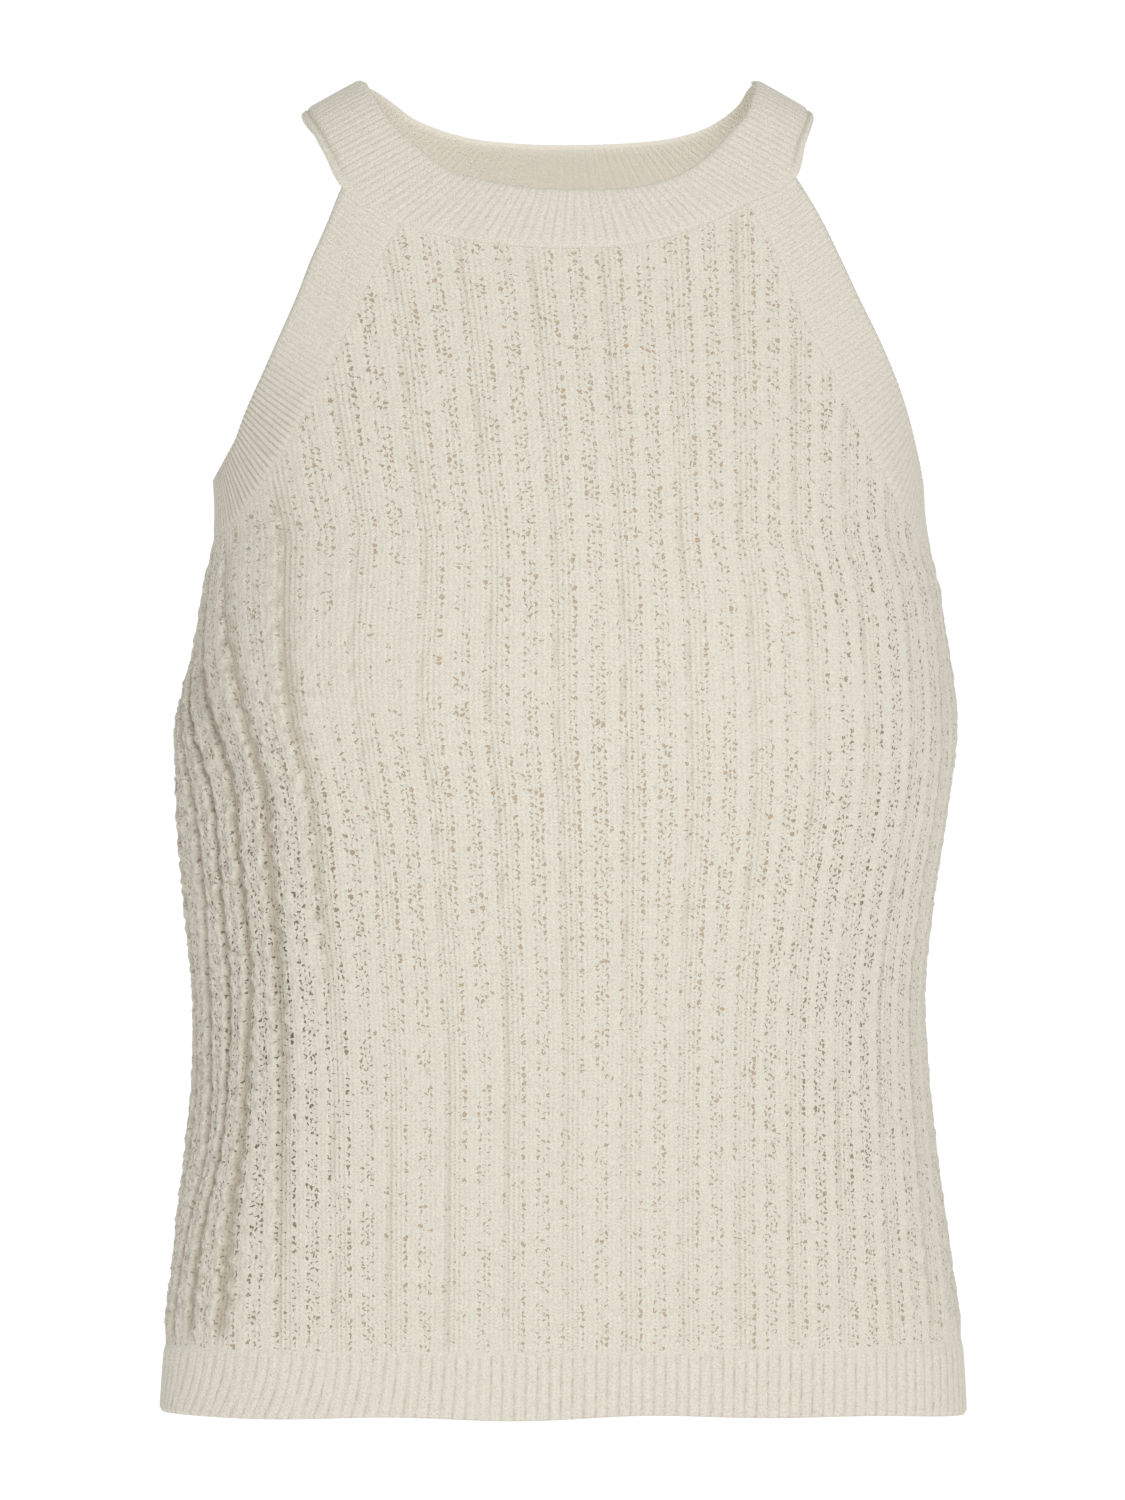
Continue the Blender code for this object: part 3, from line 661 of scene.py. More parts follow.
def knitted_wall(
    name: str, outer: Sheet, inner: Sheet, round_sides: tuple[int, ...] = ()
) -> bpy.types.Object:
    """One closed knitted piece.

    Args:
        name: the piece's name.
        outer: the outside, rows by columns.
        inner: the inside, rows by columns, with its corners under the outside's.
        round_sides: which sides are free and shaded round, counted from the first row. The
            others meet a neighbour and stay sharp.

    Returns:
        The mesh object, with the UV map "knit" in metres and an attribute for each look.
    """
    shapes = [sheet.points.shape[:2] for sheet in (outer, inner)]
    first_inner = shapes[0][0] * shapes[0][1]
    points = np.concatenate([sheet.points.reshape(-1, 3) for sheet in (outer, inner)])
    quads = np.concatenate([grid_faces(*shapes[0], 0, True), grid_faces(*shapes[1], first_inner, False)])
    outer_rim, inner_rim = rim(*shapes[0], 0), rim(*shapes[1], first_inner)
    sides = list(zip(outer_rim, inner_rim))
    triangles = np.array([face for one, other in sides for face in zip_sides(one, other)])
    if signed_volume(points, quads) < 0:
        quads, triangles = quads[:, ::-1], triangles[:, ::-1]
    corners = np.concatenate([quads.ravel(), triangles.ravel()]).astype(np.int32)
    counts = np.concatenate([np.full(len(quads), 4), np.full(len(triangles), 3)])
    starts = np.concatenate([[0], np.cumsum(counts)[:-1]]).astype(np.int32)
    mesh = bpy.data.meshes.new(name)
    mesh.vertices.add(len(points))
    mesh.vertices.foreach_set("co", points.astype(np.float32).ravel())
    mesh.loops.add(len(corners))
    mesh.loops.foreach_set("vertex_index", corners)
    mesh.polygons.add(len(counts))
    mesh.polygons.foreach_set("loop_start", starts)
    mesh.update(calc_edges=True)
    mesh.polygons.foreach_set("use_smooth", np.ones(len(counts), bool))
    ends = np.empty(2 * len(mesh.edges), np.int32)
    mesh.edges.foreach_get("vertices", ends)
    keys = edge_keys(ends[::2], ends[1::2], len(points))
    seams = [side for k, pair in enumerate(sides) if k not in round_sides for side in pair]
    sharp = np.isin(keys, np.concatenate([edge_keys(side[:-1], side[1:], len(points)) for side in seams]))
    mesh.attributes.new("sharp_edge", "BOOLEAN", "EDGE").data.foreach_set("value", sharp)
    knit = np.concatenate([sheet.knit.reshape(-1, 2) for sheet in (outer, inner)])
    mesh.uv_layers.new(name="knit").data.foreach_set("uv", knit[corners].astype(np.float32).ravel())
    looks = ({**outer.looks, "inside": 0.0}, {**inner.looks, "inside": 1.0})
    for name_of_look in LOOKS:
        pairs = zip(looks, shapes)
        levels = [np.broadcast_to(look.get(name_of_look, 0.0), shape).ravel() for look, shape in pairs]
        levels = np.concatenate(levels).astype(np.float32)
        mesh.attributes.new(name_of_look, "FLOAT", "POINT").data.foreach_set("value", levels)
    mesh.validate()
    return new_piece(name, mesh)


def new_piece(name: str, mesh: bpy.types.Mesh) -> bpy.types.Object:
    """Puts a mesh in the scene as a piece at the origin."""
    piece = bpy.data.objects.new(name, mesh)
    bpy.context.scene.collection.objects.link(piece)
    return piece


def rounded(distance: Array, reach: float, drop: float) -> Array:
    """How far an edge is drawn in, so that it is round: 0 past reach from it, drop on it."""
    inside = np.clip(1 - distance / reach, 0, 1)
    return drop * (1 - np.sqrt(1 - inside**2))


# --- Finishes --------------------------------------------------------------------------

Colour = tuple[float, float, float]
Socket = bpy.types.NodeSocket


def feed(tree: bpy.types.NodeTree, node: bpy.types.Node, **inputs: object) -> None:
    """Gives a node's inputs a value or a link, by name or, as i0 and i1, by number."""
    for key, value in inputs.items():
        if key[0] == "i" and key[1:].isdigit():
            socket = node.inputs[int(key[1:])]
        else:
            name = key.replace("_", " ")
            socket = next(item for item in node.inputs if item.enabled and item.name == name)
        if isinstance(value, Socket):
            tree.links.new(value, socket)
        else:
            socket.default_value = value


def add_node(
    tree: bpy.types.NodeTree, kind: str, settings: dict | None = None, **inputs: object
) -> bpy.types.Node:
    """Adds a node with its settings and its inputs to a tree."""
    node = tree.nodes.new(kind)
    for key, value in (settings or {}).items():
        setattr(node, key, value)
    feed(tree, node, **inputs)
    return node


class Canvas:
    """A material's nodes, added by short calls."""

    def __init__(self, name: str) -> None:
        """Makes an empty node material."""
        self.material = bpy.data.materials.new(name)
        self.material.use_nodes = True
        self.tree = self.material.node_tree

    def shade(self, **inputs: object) -> bpy.types.Material:
        """Sets the shader's inputs, and returns the material."""
        feed(self.tree, self.tree.nodes["Principled BSDF"], **inputs)
        return self.material

    def node(self, kind: str, settings: dict | None = None, **inputs: object) -> bpy.types.Node:
        """Adds a node."""
        return add_node(self.tree, kind, settings, **inputs)

    def calc(self, operation: str, *values: object) -> Socket:
        """A Math node's result."""
        inputs = {f"i{k}": value for k, value in enumerate(values)}
        return self.node("ShaderNodeMath", {"operation": operation}, **inputs).outputs[0]

    def times(self, one: object, other: object, plus: object = None) -> Socket:
        """One value times another, with a third added to it where there is one."""
        if plus is None:
            return self.calc("MULTIPLY", one, other)
        return self.calc("MULTIPLY_ADD", one, other, plus)

    def stray(self, value: object, noise: Socket, reach: float) -> Socket:
        """A value that a noise moves by up to half of reach either way."""
        return self.times(self.calc("SUBTRACT", noise, 0.5), reach, value)

    def step(self, value: object, low: float, high: float, start: float = 0, end: float = 1) -> Socket:
        """A soft step from start, at low, to end, at high."""
        inputs = {"i0": value, "i1": low, "i2": high, "i3": start, "i4": end}
        return self.node("ShaderNodeMapRange", {"interpolation_type": "SMOOTHSTEP"}, **inputs).outputs[0]

    def mix(self, factor: object, one: object, other: object) -> Socket:
        """A colour between two."""
        one, other = (value if isinstance(value, Socket) else (*value, 1.0) for value in (one, other))
        return self.node("ShaderNodeMix", {"data_type": "RGBA"}, i0=factor, i6=one, i7=other).outputs[2]

    def noise(
        self, place: Socket, scale: float, detail: float = 1.0, roughness: float = 0.5
    ) -> bpy.types.Node:
        """A noise of that many lumps a metre."""
        inputs = {"Vector": place, "Scale": scale, "Detail": detail, "Roughness": roughness}
        return self.node("ShaderNodeTexNoise", None, **inputs)

    def split(self, node: bpy.types.Node) -> bpy.types.bpy_prop_collection:
        """The three parts of a node's colour."""
        return self.node("ShaderNodeSeparateColor", None, Color=node.outputs["Color"]).outputs


class WaleGap(NamedTuple):
    """The gap beside one wale of a repeat: how often it opens, how wide, and its fine line."""

    share: float
    radius: float
    line: float


OPENINGS = (
    WaleGap(0.82, 0.60, 0.35), WaleGap(0.72, 0.54, 0.40), WaleGap(0.84, 0.62, 0.35),
    WaleGap(0.24, 0.40, 0.12), WaleGap(0.08, 0.36, 0.08), WaleGap(0.76, 0.54, 0.50),
    WaleGap(0.62, 0.36, 0.90), WaleGap(0.64, 0.38, 0.90), WaleGap(0.62, 0.36, 0.80),
    WaleGap(0.84, 0.76, 0.45), WaleGap(0.20, 0.40, 0.12), WaleGap(0.08, 0.36, 0.08),
)


@dataclass(frozen=True)
class MarlYarn:
    """Ecru marl yarn: cream with grey, pink and tan flecks, matte and a little hairy. The finish also
    paints shade into grooves, rib dips and openings, and paints light onto the inside faces.
    """

    name: str
    cream: Colour = (0.728, 0.694, 0.597)
    light: Colour = (0.765, 0.738, 0.648)
    grey: Colour = (0.555, 0.538, 0.470)
    tan: Colour = (0.620, 0.520, 0.400)
    pink: Colour = (0.745, 0.680, 0.600)
    # Painted shade: the colour painted into grooves and the dips between ribs.
    valley_shade: Colour = (0.420, 0.350, 0.255)
    # Painted light: the inside faces are painted lighter than the outside.
    painted_inside_light: Colour = (0.945, 0.895, 0.785)
    # Painted shade: the shaded inside seen through the openings and in the fine lines, tan, and near black
    # where more shade is painted.
    gap_shade_tan: Colour = (0.575, 0.425, 0.272)
    gap_shade_black: Colour = (0.085, 0.047, 0.026)
    roughness: float = 0.92
    sheen: float = 0.06
    sheen_roughness: float = 0.55
    specular: float = 0.2
    flecks_per_metre: float = 1250.0
    clouds_per_metre: float = 60.0
    first_wale: float = -0.142
    wales: int = 12
    stitch_height: float = 0.001425
    stitch_bump: float = 0.00042
    inner_bump: float = 0.4
    fuzz_bump: float = 0.00038
    gap_bump: float = 0.00044
    line_bump: float = 0.00016
    knob_bump: float = 0.00160
    knobs_per_metre: float = 270.0
    bends_per_metre: float = 560.0
    bend_aside: float = 2.3
    bend_up: float = 1.5
    gap_stray: float = 0.30
    gap_slope: float = 0.65
    column_step: float = 0.37
    open_knit: bool = True

    def material(self) -> bpy.types.Material:
        """Builds the finish from the piece's knit map and its looks."""
        canvas = Canvas(self.name)
        knit = canvas.node("ShaderNodeUVMap", {"uv_map": "knit"}).outputs[0]
        across, up = canvas.node("ShaderNodeSeparateXYZ", None, Vector=knit).outputs[:2]
        place = canvas.node("ShaderNodeTexCoord").outputs["Object"]
        looks = {name: canvas.node("ShaderNodeAttribute", {"attribute_name": name}) for name in LOOKS}
        look = {name: node.outputs["Fac"] for name, node in looks.items()}
        tints = canvas.split(canvas.noise(place, self.flecks_per_metre, 1.5, 0.6))
        cloud = canvas.noise(place, self.clouds_per_metre, 2.0, 0.6).outputs["Fac"]
        knobs = canvas.noise(place, self.knobs_per_metre).outputs["Fac"]
        # Painted shade between the knobs of the gathered knit.
        between = canvas.times(canvas.step(knobs, 0.50, 0.34, 0, 0.20), look["gathered"])

        colour = canvas.mix(canvas.step(tints[0], 0.50, 0.66), self.cream, self.light)
        # The grey, tan and pink flecks are the yarn's own colours. The last three mixes paint light and
        # shade: painted shade in grooves and rib dips, painted light on the inside faces, and painted shade
        # between the knobs.
        for share, tint in (
            (canvas.step(tints[0], 0.48, 0.34, 0, 0.55), self.grey),
            (canvas.step(tints[1], 0.54, 0.70, 0, 0.24), self.tan),
            (canvas.step(cloud, 0.44, 0.68, 0, 0.22), self.pink),
            (canvas.times(look["hollow_shade"], 0.62), self.valley_shade),
            (canvas.times(look["inside"], 0.90), self.painted_inside_light),
            (between, self.valley_shade),
        ):
            colour = canvas.mix(share, colour, tint)

        shown = canvas.times(look["inside"], (self.inner_bump - 1) * self.stitch_bump, self.stitch_bump)
        height = canvas.times(self.stitches(canvas, across, up, tints[2]), shown)
        height = canvas.times(tints[2], self.fuzz_bump, height)
        height = canvas.times(canvas.times(knobs, look["gathered"]), self.knob_bump, height)
        if self.open_knit:
            gap, line = self.openings(canvas, place, across, up, tints, look["open"])
            # The openings and the fine lines are painted shade: the shaded inside of the cloth seen through
            # them, tan, and near black where more shade is painted.
            gap_shade_colour = canvas.mix(look["gap_shade_depth"], self.gap_shade_tan, self.gap_shade_black)
            colour = canvas.mix(canvas.times(line, 0.30), colour, self.gap_shade_tan)
            colour = canvas.mix(gap, colour, gap_shade_colour)
            height = canvas.times(line, -self.line_bump, height)
            height = canvas.times(gap, -self.gap_bump, height)
        bump = canvas.node("ShaderNodeBump", None, Strength=1.0, Distance=1.0, Height=height)
        return canvas.shade(
            Base_Color=colour,
            Normal=bump.outputs[0],
            Roughness=self.roughness,
            Sheen_Weight=self.sheen,
            Sheen_Roughness=self.sheen_roughness,
            Specular_IOR_Level=self.specular,
        )

    def wale(self, canvas: Canvas, across: Socket) -> Socket:
        """Wales counted across the knit, whole numbers in the middle of a gap."""
        return canvas.times(across, self.wales / REPEAT_WIDTH, -self.first_wale * self.wales)

    def stitches(self, canvas: Canvas, across: Socket, up: Socket, stray: Socket) -> Socket:
        """The height of plain knit stitches: rows of slanting loops in upright wales."""
        wale = canvas.times(stray, 0.5, self.wale(canvas, across))
        slant = canvas.calc("PINGPONG", wale, 0.5)
        row = canvas.times(up, 1 / self.stitch_height, canvas.times(slant, 1.5))
        loop = canvas.calc("PINGPONG", row, 0.5)
        return canvas.times(canvas.calc("POWER", loop, 0.6), canvas.calc("POWER", slant, 0.5))

    def wale_gap(self, canvas: Canvas, column: Socket) -> bpy.types.bpy_prop_collection:
        """The share, the radius and the line of the gap beside a wale, looked up in OPENINGS."""
        spot = canvas.calc("DIVIDE", canvas.calc("ADD", column, 0.5), self.wales)
        table = canvas.node("ShaderNodeValToRGB", None, i0=canvas.calc("FRACT", spot))
        stops = table.color_ramp.elements
        table.color_ramp.interpolation = "CONSTANT"
        while len(stops) < self.wales:
            stops.new(1.0)
        for number, (stop, gap) in enumerate(zip(stops, OPENINGS)):
            stop.position = number / self.wales
            stop.color = (*gap, 1.0)
        return canvas.split(table)

    def openings(
        self, canvas: Canvas, place: Socket, across: Socket, up: Socket, tints: object, open_share: Socket
    ) -> tuple[Socket, Socket]:
        """Where the small openings and the fine lines between the wales show.

        Args:
            canvas: the material's nodes.
            place: the point in space.
            across: metres across the knit.
            up: metres up the knit.
            tints: noises that fray the lines.
            open_share: how open the knit is.

        Returns:
            0 on yarn to 1 in the middle of an opening, and the same for the lines.
        """
        wale = self.wale(canvas, across)
        column = canvas.calc("ROUND", wale)
        pair = canvas.times(column, self.column_step, canvas.calc("DIVIDE", up, 2 * self.stitch_height))
        cell = canvas.node("ShaderNodeCombineXYZ", None, X=column, Y=canvas.calc("FLOOR", pair)).outputs[0]
        flat = {"noise_dimensions": "2D"}
        shift = canvas.split(canvas.node("ShaderNodeTexWhiteNoise", flat, Vector=cell))
        group = canvas.node("ShaderNodeTexNoise", flat, Vector=cell, Scale=0.43, Detail=0.0).outputs["Fac"]
        kind = self.wale_gap(canvas, column)
        bend = canvas.split(canvas.noise(place, self.bends_per_metre))

        bare = canvas.calc("SUBTRACT", wale, column)
        aside = canvas.stray(bare, shift[0], self.gap_stray)
        aside = canvas.stray(aside, bend[0], self.bend_aside)
        aside = canvas.times(aside, 1000 * REPEAT_WIDTH / self.wales)
        above = canvas.calc("SUBTRACT", canvas.calc("FRACT", pair), 0.5)
        above = canvas.stray(above, shift[1], self.gap_stray)
        above = canvas.stray(above, bend[1], self.bend_up)
        above = canvas.times(above, 2000 * self.stitch_height)
        above = canvas.times(canvas.calc("ABSOLUTE", aside), -self.gap_slope, above)
        distance = canvas.calc("SQRT", canvas.times(aside, aside, canvas.times(above, above)))
        size = canvas.times(canvas.times(shift[2], 0.75, 0.45), kind[1])
        size = canvas.times(size, canvas.times(open_share, 0.45, 0.72))
        mask = canvas.step(canvas.calc("DIVIDE", distance, size), 1.15, 0.60, 0, 0.92)
        likely = canvas.times(open_share, 0.50, canvas.times(kind[0], 0.70, -0.63))
        present = canvas.step(canvas.calc("ADD", group, likely), 0.52, 0.62)

        beside = canvas.calc("ABSOLUTE", canvas.stray(bare, tints[1], 0.55))
        row = canvas.times(tints[0], 0.7, canvas.calc("DIVIDE", up, self.stitch_height))
        dash = canvas.calc("PINGPONG", canvas.times(column, self.column_step, row), 0.5)
        dash = canvas.times(canvas.step(dash, 0.12, 0.34, 0.10, 1), kind[2])
        line = canvas.times(canvas.step(beside, 0.24, 0.06), dash)
        return canvas.times(mask, present), line


# --- Seams -----------------------------------------------------------------------------


@dataclass(frozen=True)
class SeamChain:
    """Linked loops of yarn along a seam, repeated by Geometry Nodes."""

    pitch: float = 0.0026
    loop_length: float = 0.0031
    loop_width: float = 0.0010
    yarn_radius: float = 0.00040
    unevenness: float = 0.12
    seed: int = 7
    loop_points: int = 8
    yarn_sides: int = 4

    def sizes(self) -> dict[str, float | int]:
        """The node tree's named inputs."""
        return {
            "Pitch": self.pitch,
            "Loop Length": self.loop_length,
            "Loop Width": self.loop_width,
            "Yarn Radius": self.yarn_radius,
            "Unevenness": self.unevenness,
            "Seed": self.seed,
        }

    def tree(self) -> bpy.types.NodeTree:
        """Builds the tree: a run of points in, loops of yarn on a resampled curve out."""
        tree = bpy.data.node_groups.new("seam_chain", "GeometryNodeTree")
        tree.interface.new_socket("Geometry", in_out="OUTPUT", socket_type="NodeSocketGeometry")
        tree.interface.new_socket("Geometry", in_out="INPUT", socket_type="NodeSocketGeometry")
        for name, value in self.sizes().items():
            kind = "NodeSocketInt" if isinstance(value, int) else "NodeSocketFloat"
            tree.interface.new_socket(name, in_out="INPUT", socket_type=kind)
        tree.interface.new_socket("Yarn", in_out="INPUT", socket_type="NodeSocketMaterial")
        given = tree.nodes.new("NodeGroupInput").outputs
        add = partial(add_node, tree)

        run = add("GeometryNodeMeshToCurve", Mesh=given["Geometry"]).outputs[0]
        run = add("GeometryNodeResampleCurve", {"mode": "LENGTH"}, Curve=run, Length=given["Pitch"])
        oval = add("GeometryNodeCurvePrimitiveCircle", Resolution=self.loop_points, Radius=0.5)
        scale = add("ShaderNodeCombineXYZ", X=given["Loop Length"], Y=given["Loop Width"], Z=1.0)
        oval = add("GeometryNodeTransform", Geometry=oval.outputs[0], Scale=scale.outputs[0])
        sizes = {"Resolution": self.yarn_sides, "Radius": given["Yarn Radius"]}
        yarn = add("GeometryNodeCurvePrimitiveCircle", None, **sizes)
        loop = add("GeometryNodeCurveToMesh", Curve=oval.outputs[0], Profile_Curve=yarn.outputs[0])

        along = add("GeometryNodeInputTangent").outputs[0]
        vector = {"data_type": "FLOAT_VECTOR"}
        out = add("GeometryNodeInputNamedAttribute", vector, Name="outward").outputs[0]
        turn = add("FunctionNodeAlignRotationToVector", {"axis": "X"}, Vector=along).outputs[0]
        pivot = {"axis": "Z", "pivot_axis": "X"}
        turn = add("FunctionNodeAlignRotationToVector", pivot, Rotation=turn, Vector=out).outputs[0]
        least = add("ShaderNodeMath", {"operation": "SUBTRACT"}, i0=1.0, i1=given["Unevenness"])
        size = add("FunctionNodeRandomValue", Min=least.outputs[0], Max=1.0, Seed=given["Seed"])
        loops = add(
            "GeometryNodeInstanceOnPoints",
            Points=run.outputs[0],
            Instance=loop.outputs[0],
            Rotation=turn,
            Scale=size.outputs[1],
        )
        plain = add("GeometryNodeRealizeInstances", Geometry=loops.outputs[0])
        soft = add("GeometryNodeSetShadeSmooth", Geometry=plain.outputs[0])
        dressed = add("GeometryNodeSetMaterial", Geometry=soft.outputs[0], Material=given["Yarn"])
        tree.links.new(dressed.outputs[0], tree.nodes.new("NodeGroupOutput").inputs[0])
        return tree

    def build(self, name: str, points: Array, outward: Array, yarn: bpy.types.Material) -> bpy.types.Object:
        """Lays the chain along a run of points.

        Args:
            name: the piece's name.
            points: the run, in metres.
            outward: the way that the cloth faces at each point.
            yarn: the finish.

        Returns:
            The chain as a plain mesh object.
        """
        mesh = bpy.data.meshes.new(f"{name}_run")
        mesh.from_pydata(points.tolist(), [(k, k + 1) for k in range(len(points) - 1)], [])
        facing = mesh.attributes.new("outward", "FLOAT_VECTOR", "POINT")
        facing.data.foreach_set("vector", outward.astype(np.float32).ravel())
        piece = new_piece(name, mesh)
        tree = self.tree()
        modifier = piece.modifiers.new("chain", "NODES")
        modifier.node_group = tree
        values = {**self.sizes(), "Yarn": yarn}
        for item in tree.interface.items_tree:
            if item.in_out == "INPUT" and item.name in values:
                modifier[item.identifier] = values[item.name]
        evaluated = piece.evaluated_get(bpy.context.evaluated_depsgraph_get())
        chain = bpy.data.meshes.new_from_object(evaluated)
        piece.modifiers.clear()
        piece.data = chain
        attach(piece, "root")
        LOG.info("%s: %d faces", name, len(chain.polygons))
        return piece


@dataclass
class SeamRuns:
    """The seams that show a chain: where the neckband and the armhole bands join a panel."""

    form: BodyForm
    yarn: bpy.types.Material
    chain: SeamChain = field(default_factory=SeamChain)
    out: float = 0.0018
    points: int = 400

    def lay(self, name: str, places: Array, half: Half) -> bpy.types.Object:
        """A chain on the cloth's outside."""
        turn, height = places[:, 0], places[:, 1]
        outward = self.form.normals(turn, height, half)
        return self.chain.build(name, self.form.cloth(turn, height, half, self.out), outward, self.yarn)

    def build(self, half: Half) -> tuple[bpy.types.Object, ...]:
        """The chains round one panel: under the neckband, then beside each armhole band."""
        neck = self.lay(f"neck_chain_{half.value}", self.form.neck_run(half, self.points), half)
        names = {side: f"armhole_chain_{side.name.lower()}_{half.value}" for side in Side}
        runs = {side: self.form.armhole_run(half, side, self.points) for side in Side}
        return (neck, *(self.lay(names[side], runs[side], half) for side in Side))


# --- Pieces ----------------------------------------------------------------------------


@dataclass
class KnittedPiece:
    """What every knitted piece of the top shares."""

    form: BodyForm
    finish: bpy.types.Material
    slot: str

    def dress(
        self,
        piece: bpy.types.Object,
        node: str,
        plain: Array,
        hangs_on: tuple[str, ...],
        on_it: tuple[bpy.types.Object, ...] = (),
        width: float | None = None,
    ) -> bpy.types.Object:
        """Gives a piece its finish, hides the solid that it stands for, and logs the size of its cut.

        Args:
            piece: the knitted piece.
            node: the solid that it stands for.
            plain: its inside as a plain grid of points, for the size of its cut.
            hangs_on: the pieces that hold it up; not used.
            on_it: the stitched pieces that go with it; not used.
            width: its cut's width, where its rows aren't level.

        Returns:
            The piece.
        """
        piece.data.materials.append(self.finish)
        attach(piece, "root")
        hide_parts(node)
        width = width or max(float(lengths_along(row)[-1]) for row in plain)
        length = max(float(lengths_along(plain[:, k])[-1]) for k in range(plain.shape[1]))
        LOG.info("%s: %d faces, cut %.3f by %.3f m", piece.name, len(piece.data.polygons), width, length)
        return piece


@dataclass
class BodyPanel(KnittedPiece):
    """The front or the back, in the cable stitch."""

    half: Half = Half.FRONT
    stitch: CableStitch = field(default_factory=CableStitch)
    rows: int = 300
    column_marks: tuple[int, ...] = (0, 120, 262, 306)
    marked_repeats: tuple[float, ...] = (-8.0, -4.7, 5.4, 8.0)
    inner_rows: int = 48
    inner_columns: int = 96
    edge_points: int = 400
    tuck: float = 0.0006
    cover: float = 1.03
    side_from: float = 5.6
    side_to: float = 7.4
    side_gather: float = 0.38
    back_gather: float = 0.22
    least_gather: float = 0.07
    upper_gather: float = 0.42
    inner_rise: float = 0.25
    hollow_depth: float = 0.0010

    def top_edge(self) -> tuple[Array, Array]:
        """The panel's top edge, as even repeats from the middle and heights."""
        left, right = (self.form.armhole_run(self.half, side, self.edge_points) for side in Side)
        neck = self.form.neck_run(self.half, self.edge_points // 2)
        curve = np.concatenate([left[::-1], neck[1:-1], right])
        pitch = self.form.wale_pitch(curve[:, 1], self.half)
        return curve[:, 0] * self.form.reach(curve[:, 1], self.half) / pitch, curve[:, 1] + self.tuck

    def wales(self, repeat: Array, height: Array) -> Array:
        """The wale at each place, in repeats of the stitch."""
        if self.half is Half.BACK:
            return -repeat
        rows = np.array(FRONT_WALES)
        marks = hermite(rows[:, 0], rows[:, 1:], height.ravel()).reshape(*height.shape, -1)
        steps = np.clip((repeat[..., None] - marks[..., :-1]) / np.diff(marks, axis=-1), 0, 1)
        return WALE_NUMBERS[0] + steps @ np.diff(WALE_NUMBERS)

    def gather(self, repeat: Array, height: Array) -> Array:
        """How far the knit is gathered, from 0, stretched, to 1."""
        sides = self.side_gather * smooth(self.side_from, self.side_to, np.abs(repeat))
        if self.half is Half.BACK:
            return self.back_gather + sides
        limits = np.array(GATHERED_FROM)
        edge = np.interp(height, limits[:, 1], limits[:, 0])
        left = smooth(1.30, -0.55, repeat - edge)
        left *= self.upper_gather + (1 - self.upper_gather) * smooth(-0.200, -0.285, height)
        return np.clip(left + sides * (repeat > 0) + self.least_gather, 0, 1)

    def patched(self, patches: tuple[Patch, ...], repeat: Array, height: Array) -> Array:
        """The changes that soft patches make."""
        change = np.zeros_like(repeat)
        for patch in patches:
            aside = (repeat - patch.repeat) / patch.half_repeats
            above = (height - patch.height) / patch.half_height
            change += patch.change * np.exp(-((aside**2 + above**2) ** 1.5))
        return change

    def looks(self, repeat: Array, height: Array, gather: Array, rise: Array) -> dict[str, Array | float]:
        """What the finish shows: how much painted shade lies in the knit's grooves and fine dips, how open
        the knit is, how much painted shade shows through its openings, and how gathered it is.
        """
        # Painted shade: in the grooves of the gathered knit and in the fine dips of the stretched knit; and
        # the painted shade seen through the openings, stronger in patches on the front.
        groove = 0.82 * gather * smooth(self.hollow_depth, -self.hollow_depth, rise)
        line = (1 - gather) * np.clip(-rise / self.hollow_depth, 0, 1)
        looks = {"hollow_shade": groove + line, "open": 0.66, "gap_shade_depth": 0.35, "gathered": gather}
        if self.half is Half.FRONT:
            looks["open"] = 0.60 + self.patched(OPEN_PATCHES, repeat, height)
            looks["gap_shade_depth"] = 0.03 + self.patched(GAP_SHADE_PATCHES, repeat, height)
        return looks

    def sheet(self, rows: int, repeats: Array, outside: bool) -> Sheet:
        """One face of the panel."""
        top = np.interp(repeats, *self.top_edge())
        height = HEM_TOP + (top - HEM_TOP) * np.linspace(0, 1, rows + 1)[:, None]
        below, above = top - height, height - HEM_TOP
        reach, pitch = self.form.reach(height, self.half), self.form.wale_pitch(height, self.half)
        repeat = repeats + 0 * height
        turn = np.clip(repeat * pitch / reach, -1, 1)
        wale = self.wales(repeat, height)
        gather = self.gather(repeat, height) * smooth(0.0, 0.020, below) * smooth(0.0, 0.012, above)
        ends = smooth(0.0, 0.005, below) * smooth(-0.002, 0.004, above)
        rise = self.stitch.rise(wale, above * self.cover, gather) * ends
        edge = rounded(below, *SEAM_EDGE) + rounded(above, *HEM_SEAM_EDGE)
        out = self.stitch.wall + rise - edge if outside else self.inner_rise * rise + 0.5 * edge
        knit = np.stack([wale * REPEAT_WIDTH, above * self.cover], axis=-1)
        looks = self.looks(repeat, height, gather, rise)
        if not outside:
            looks["gathered"] = 0.0
        return Sheet(self.form.cloth(turn, height, self.half, out), knit, looks)

    def build(self, on_it: tuple[bpy.types.Object, ...]) -> bpy.types.Object:
        """Makes the panel."""
        columns = np.arange(self.column_marks[-1] + 1)
        outer = self.sheet(self.rows, np.interp(columns, self.column_marks, self.marked_repeats), True)
        even = np.linspace(-REPEATS / 2, REPEATS / 2, self.inner_columns + 1)
        inner = self.sheet(self.inner_rows, even, False)
        node = f"{self.half.value}_panel"
        piece = knitted_wall(f"{node}_knit", outer, inner)
        widest = 2 * float(self.form.reach(np.linspace(HEM_TOP, UNDERARM, 200), self.half).max())
        return self.dress(piece, node, inner.points, (f"neckband_{self.half.value}",), on_it, widest)


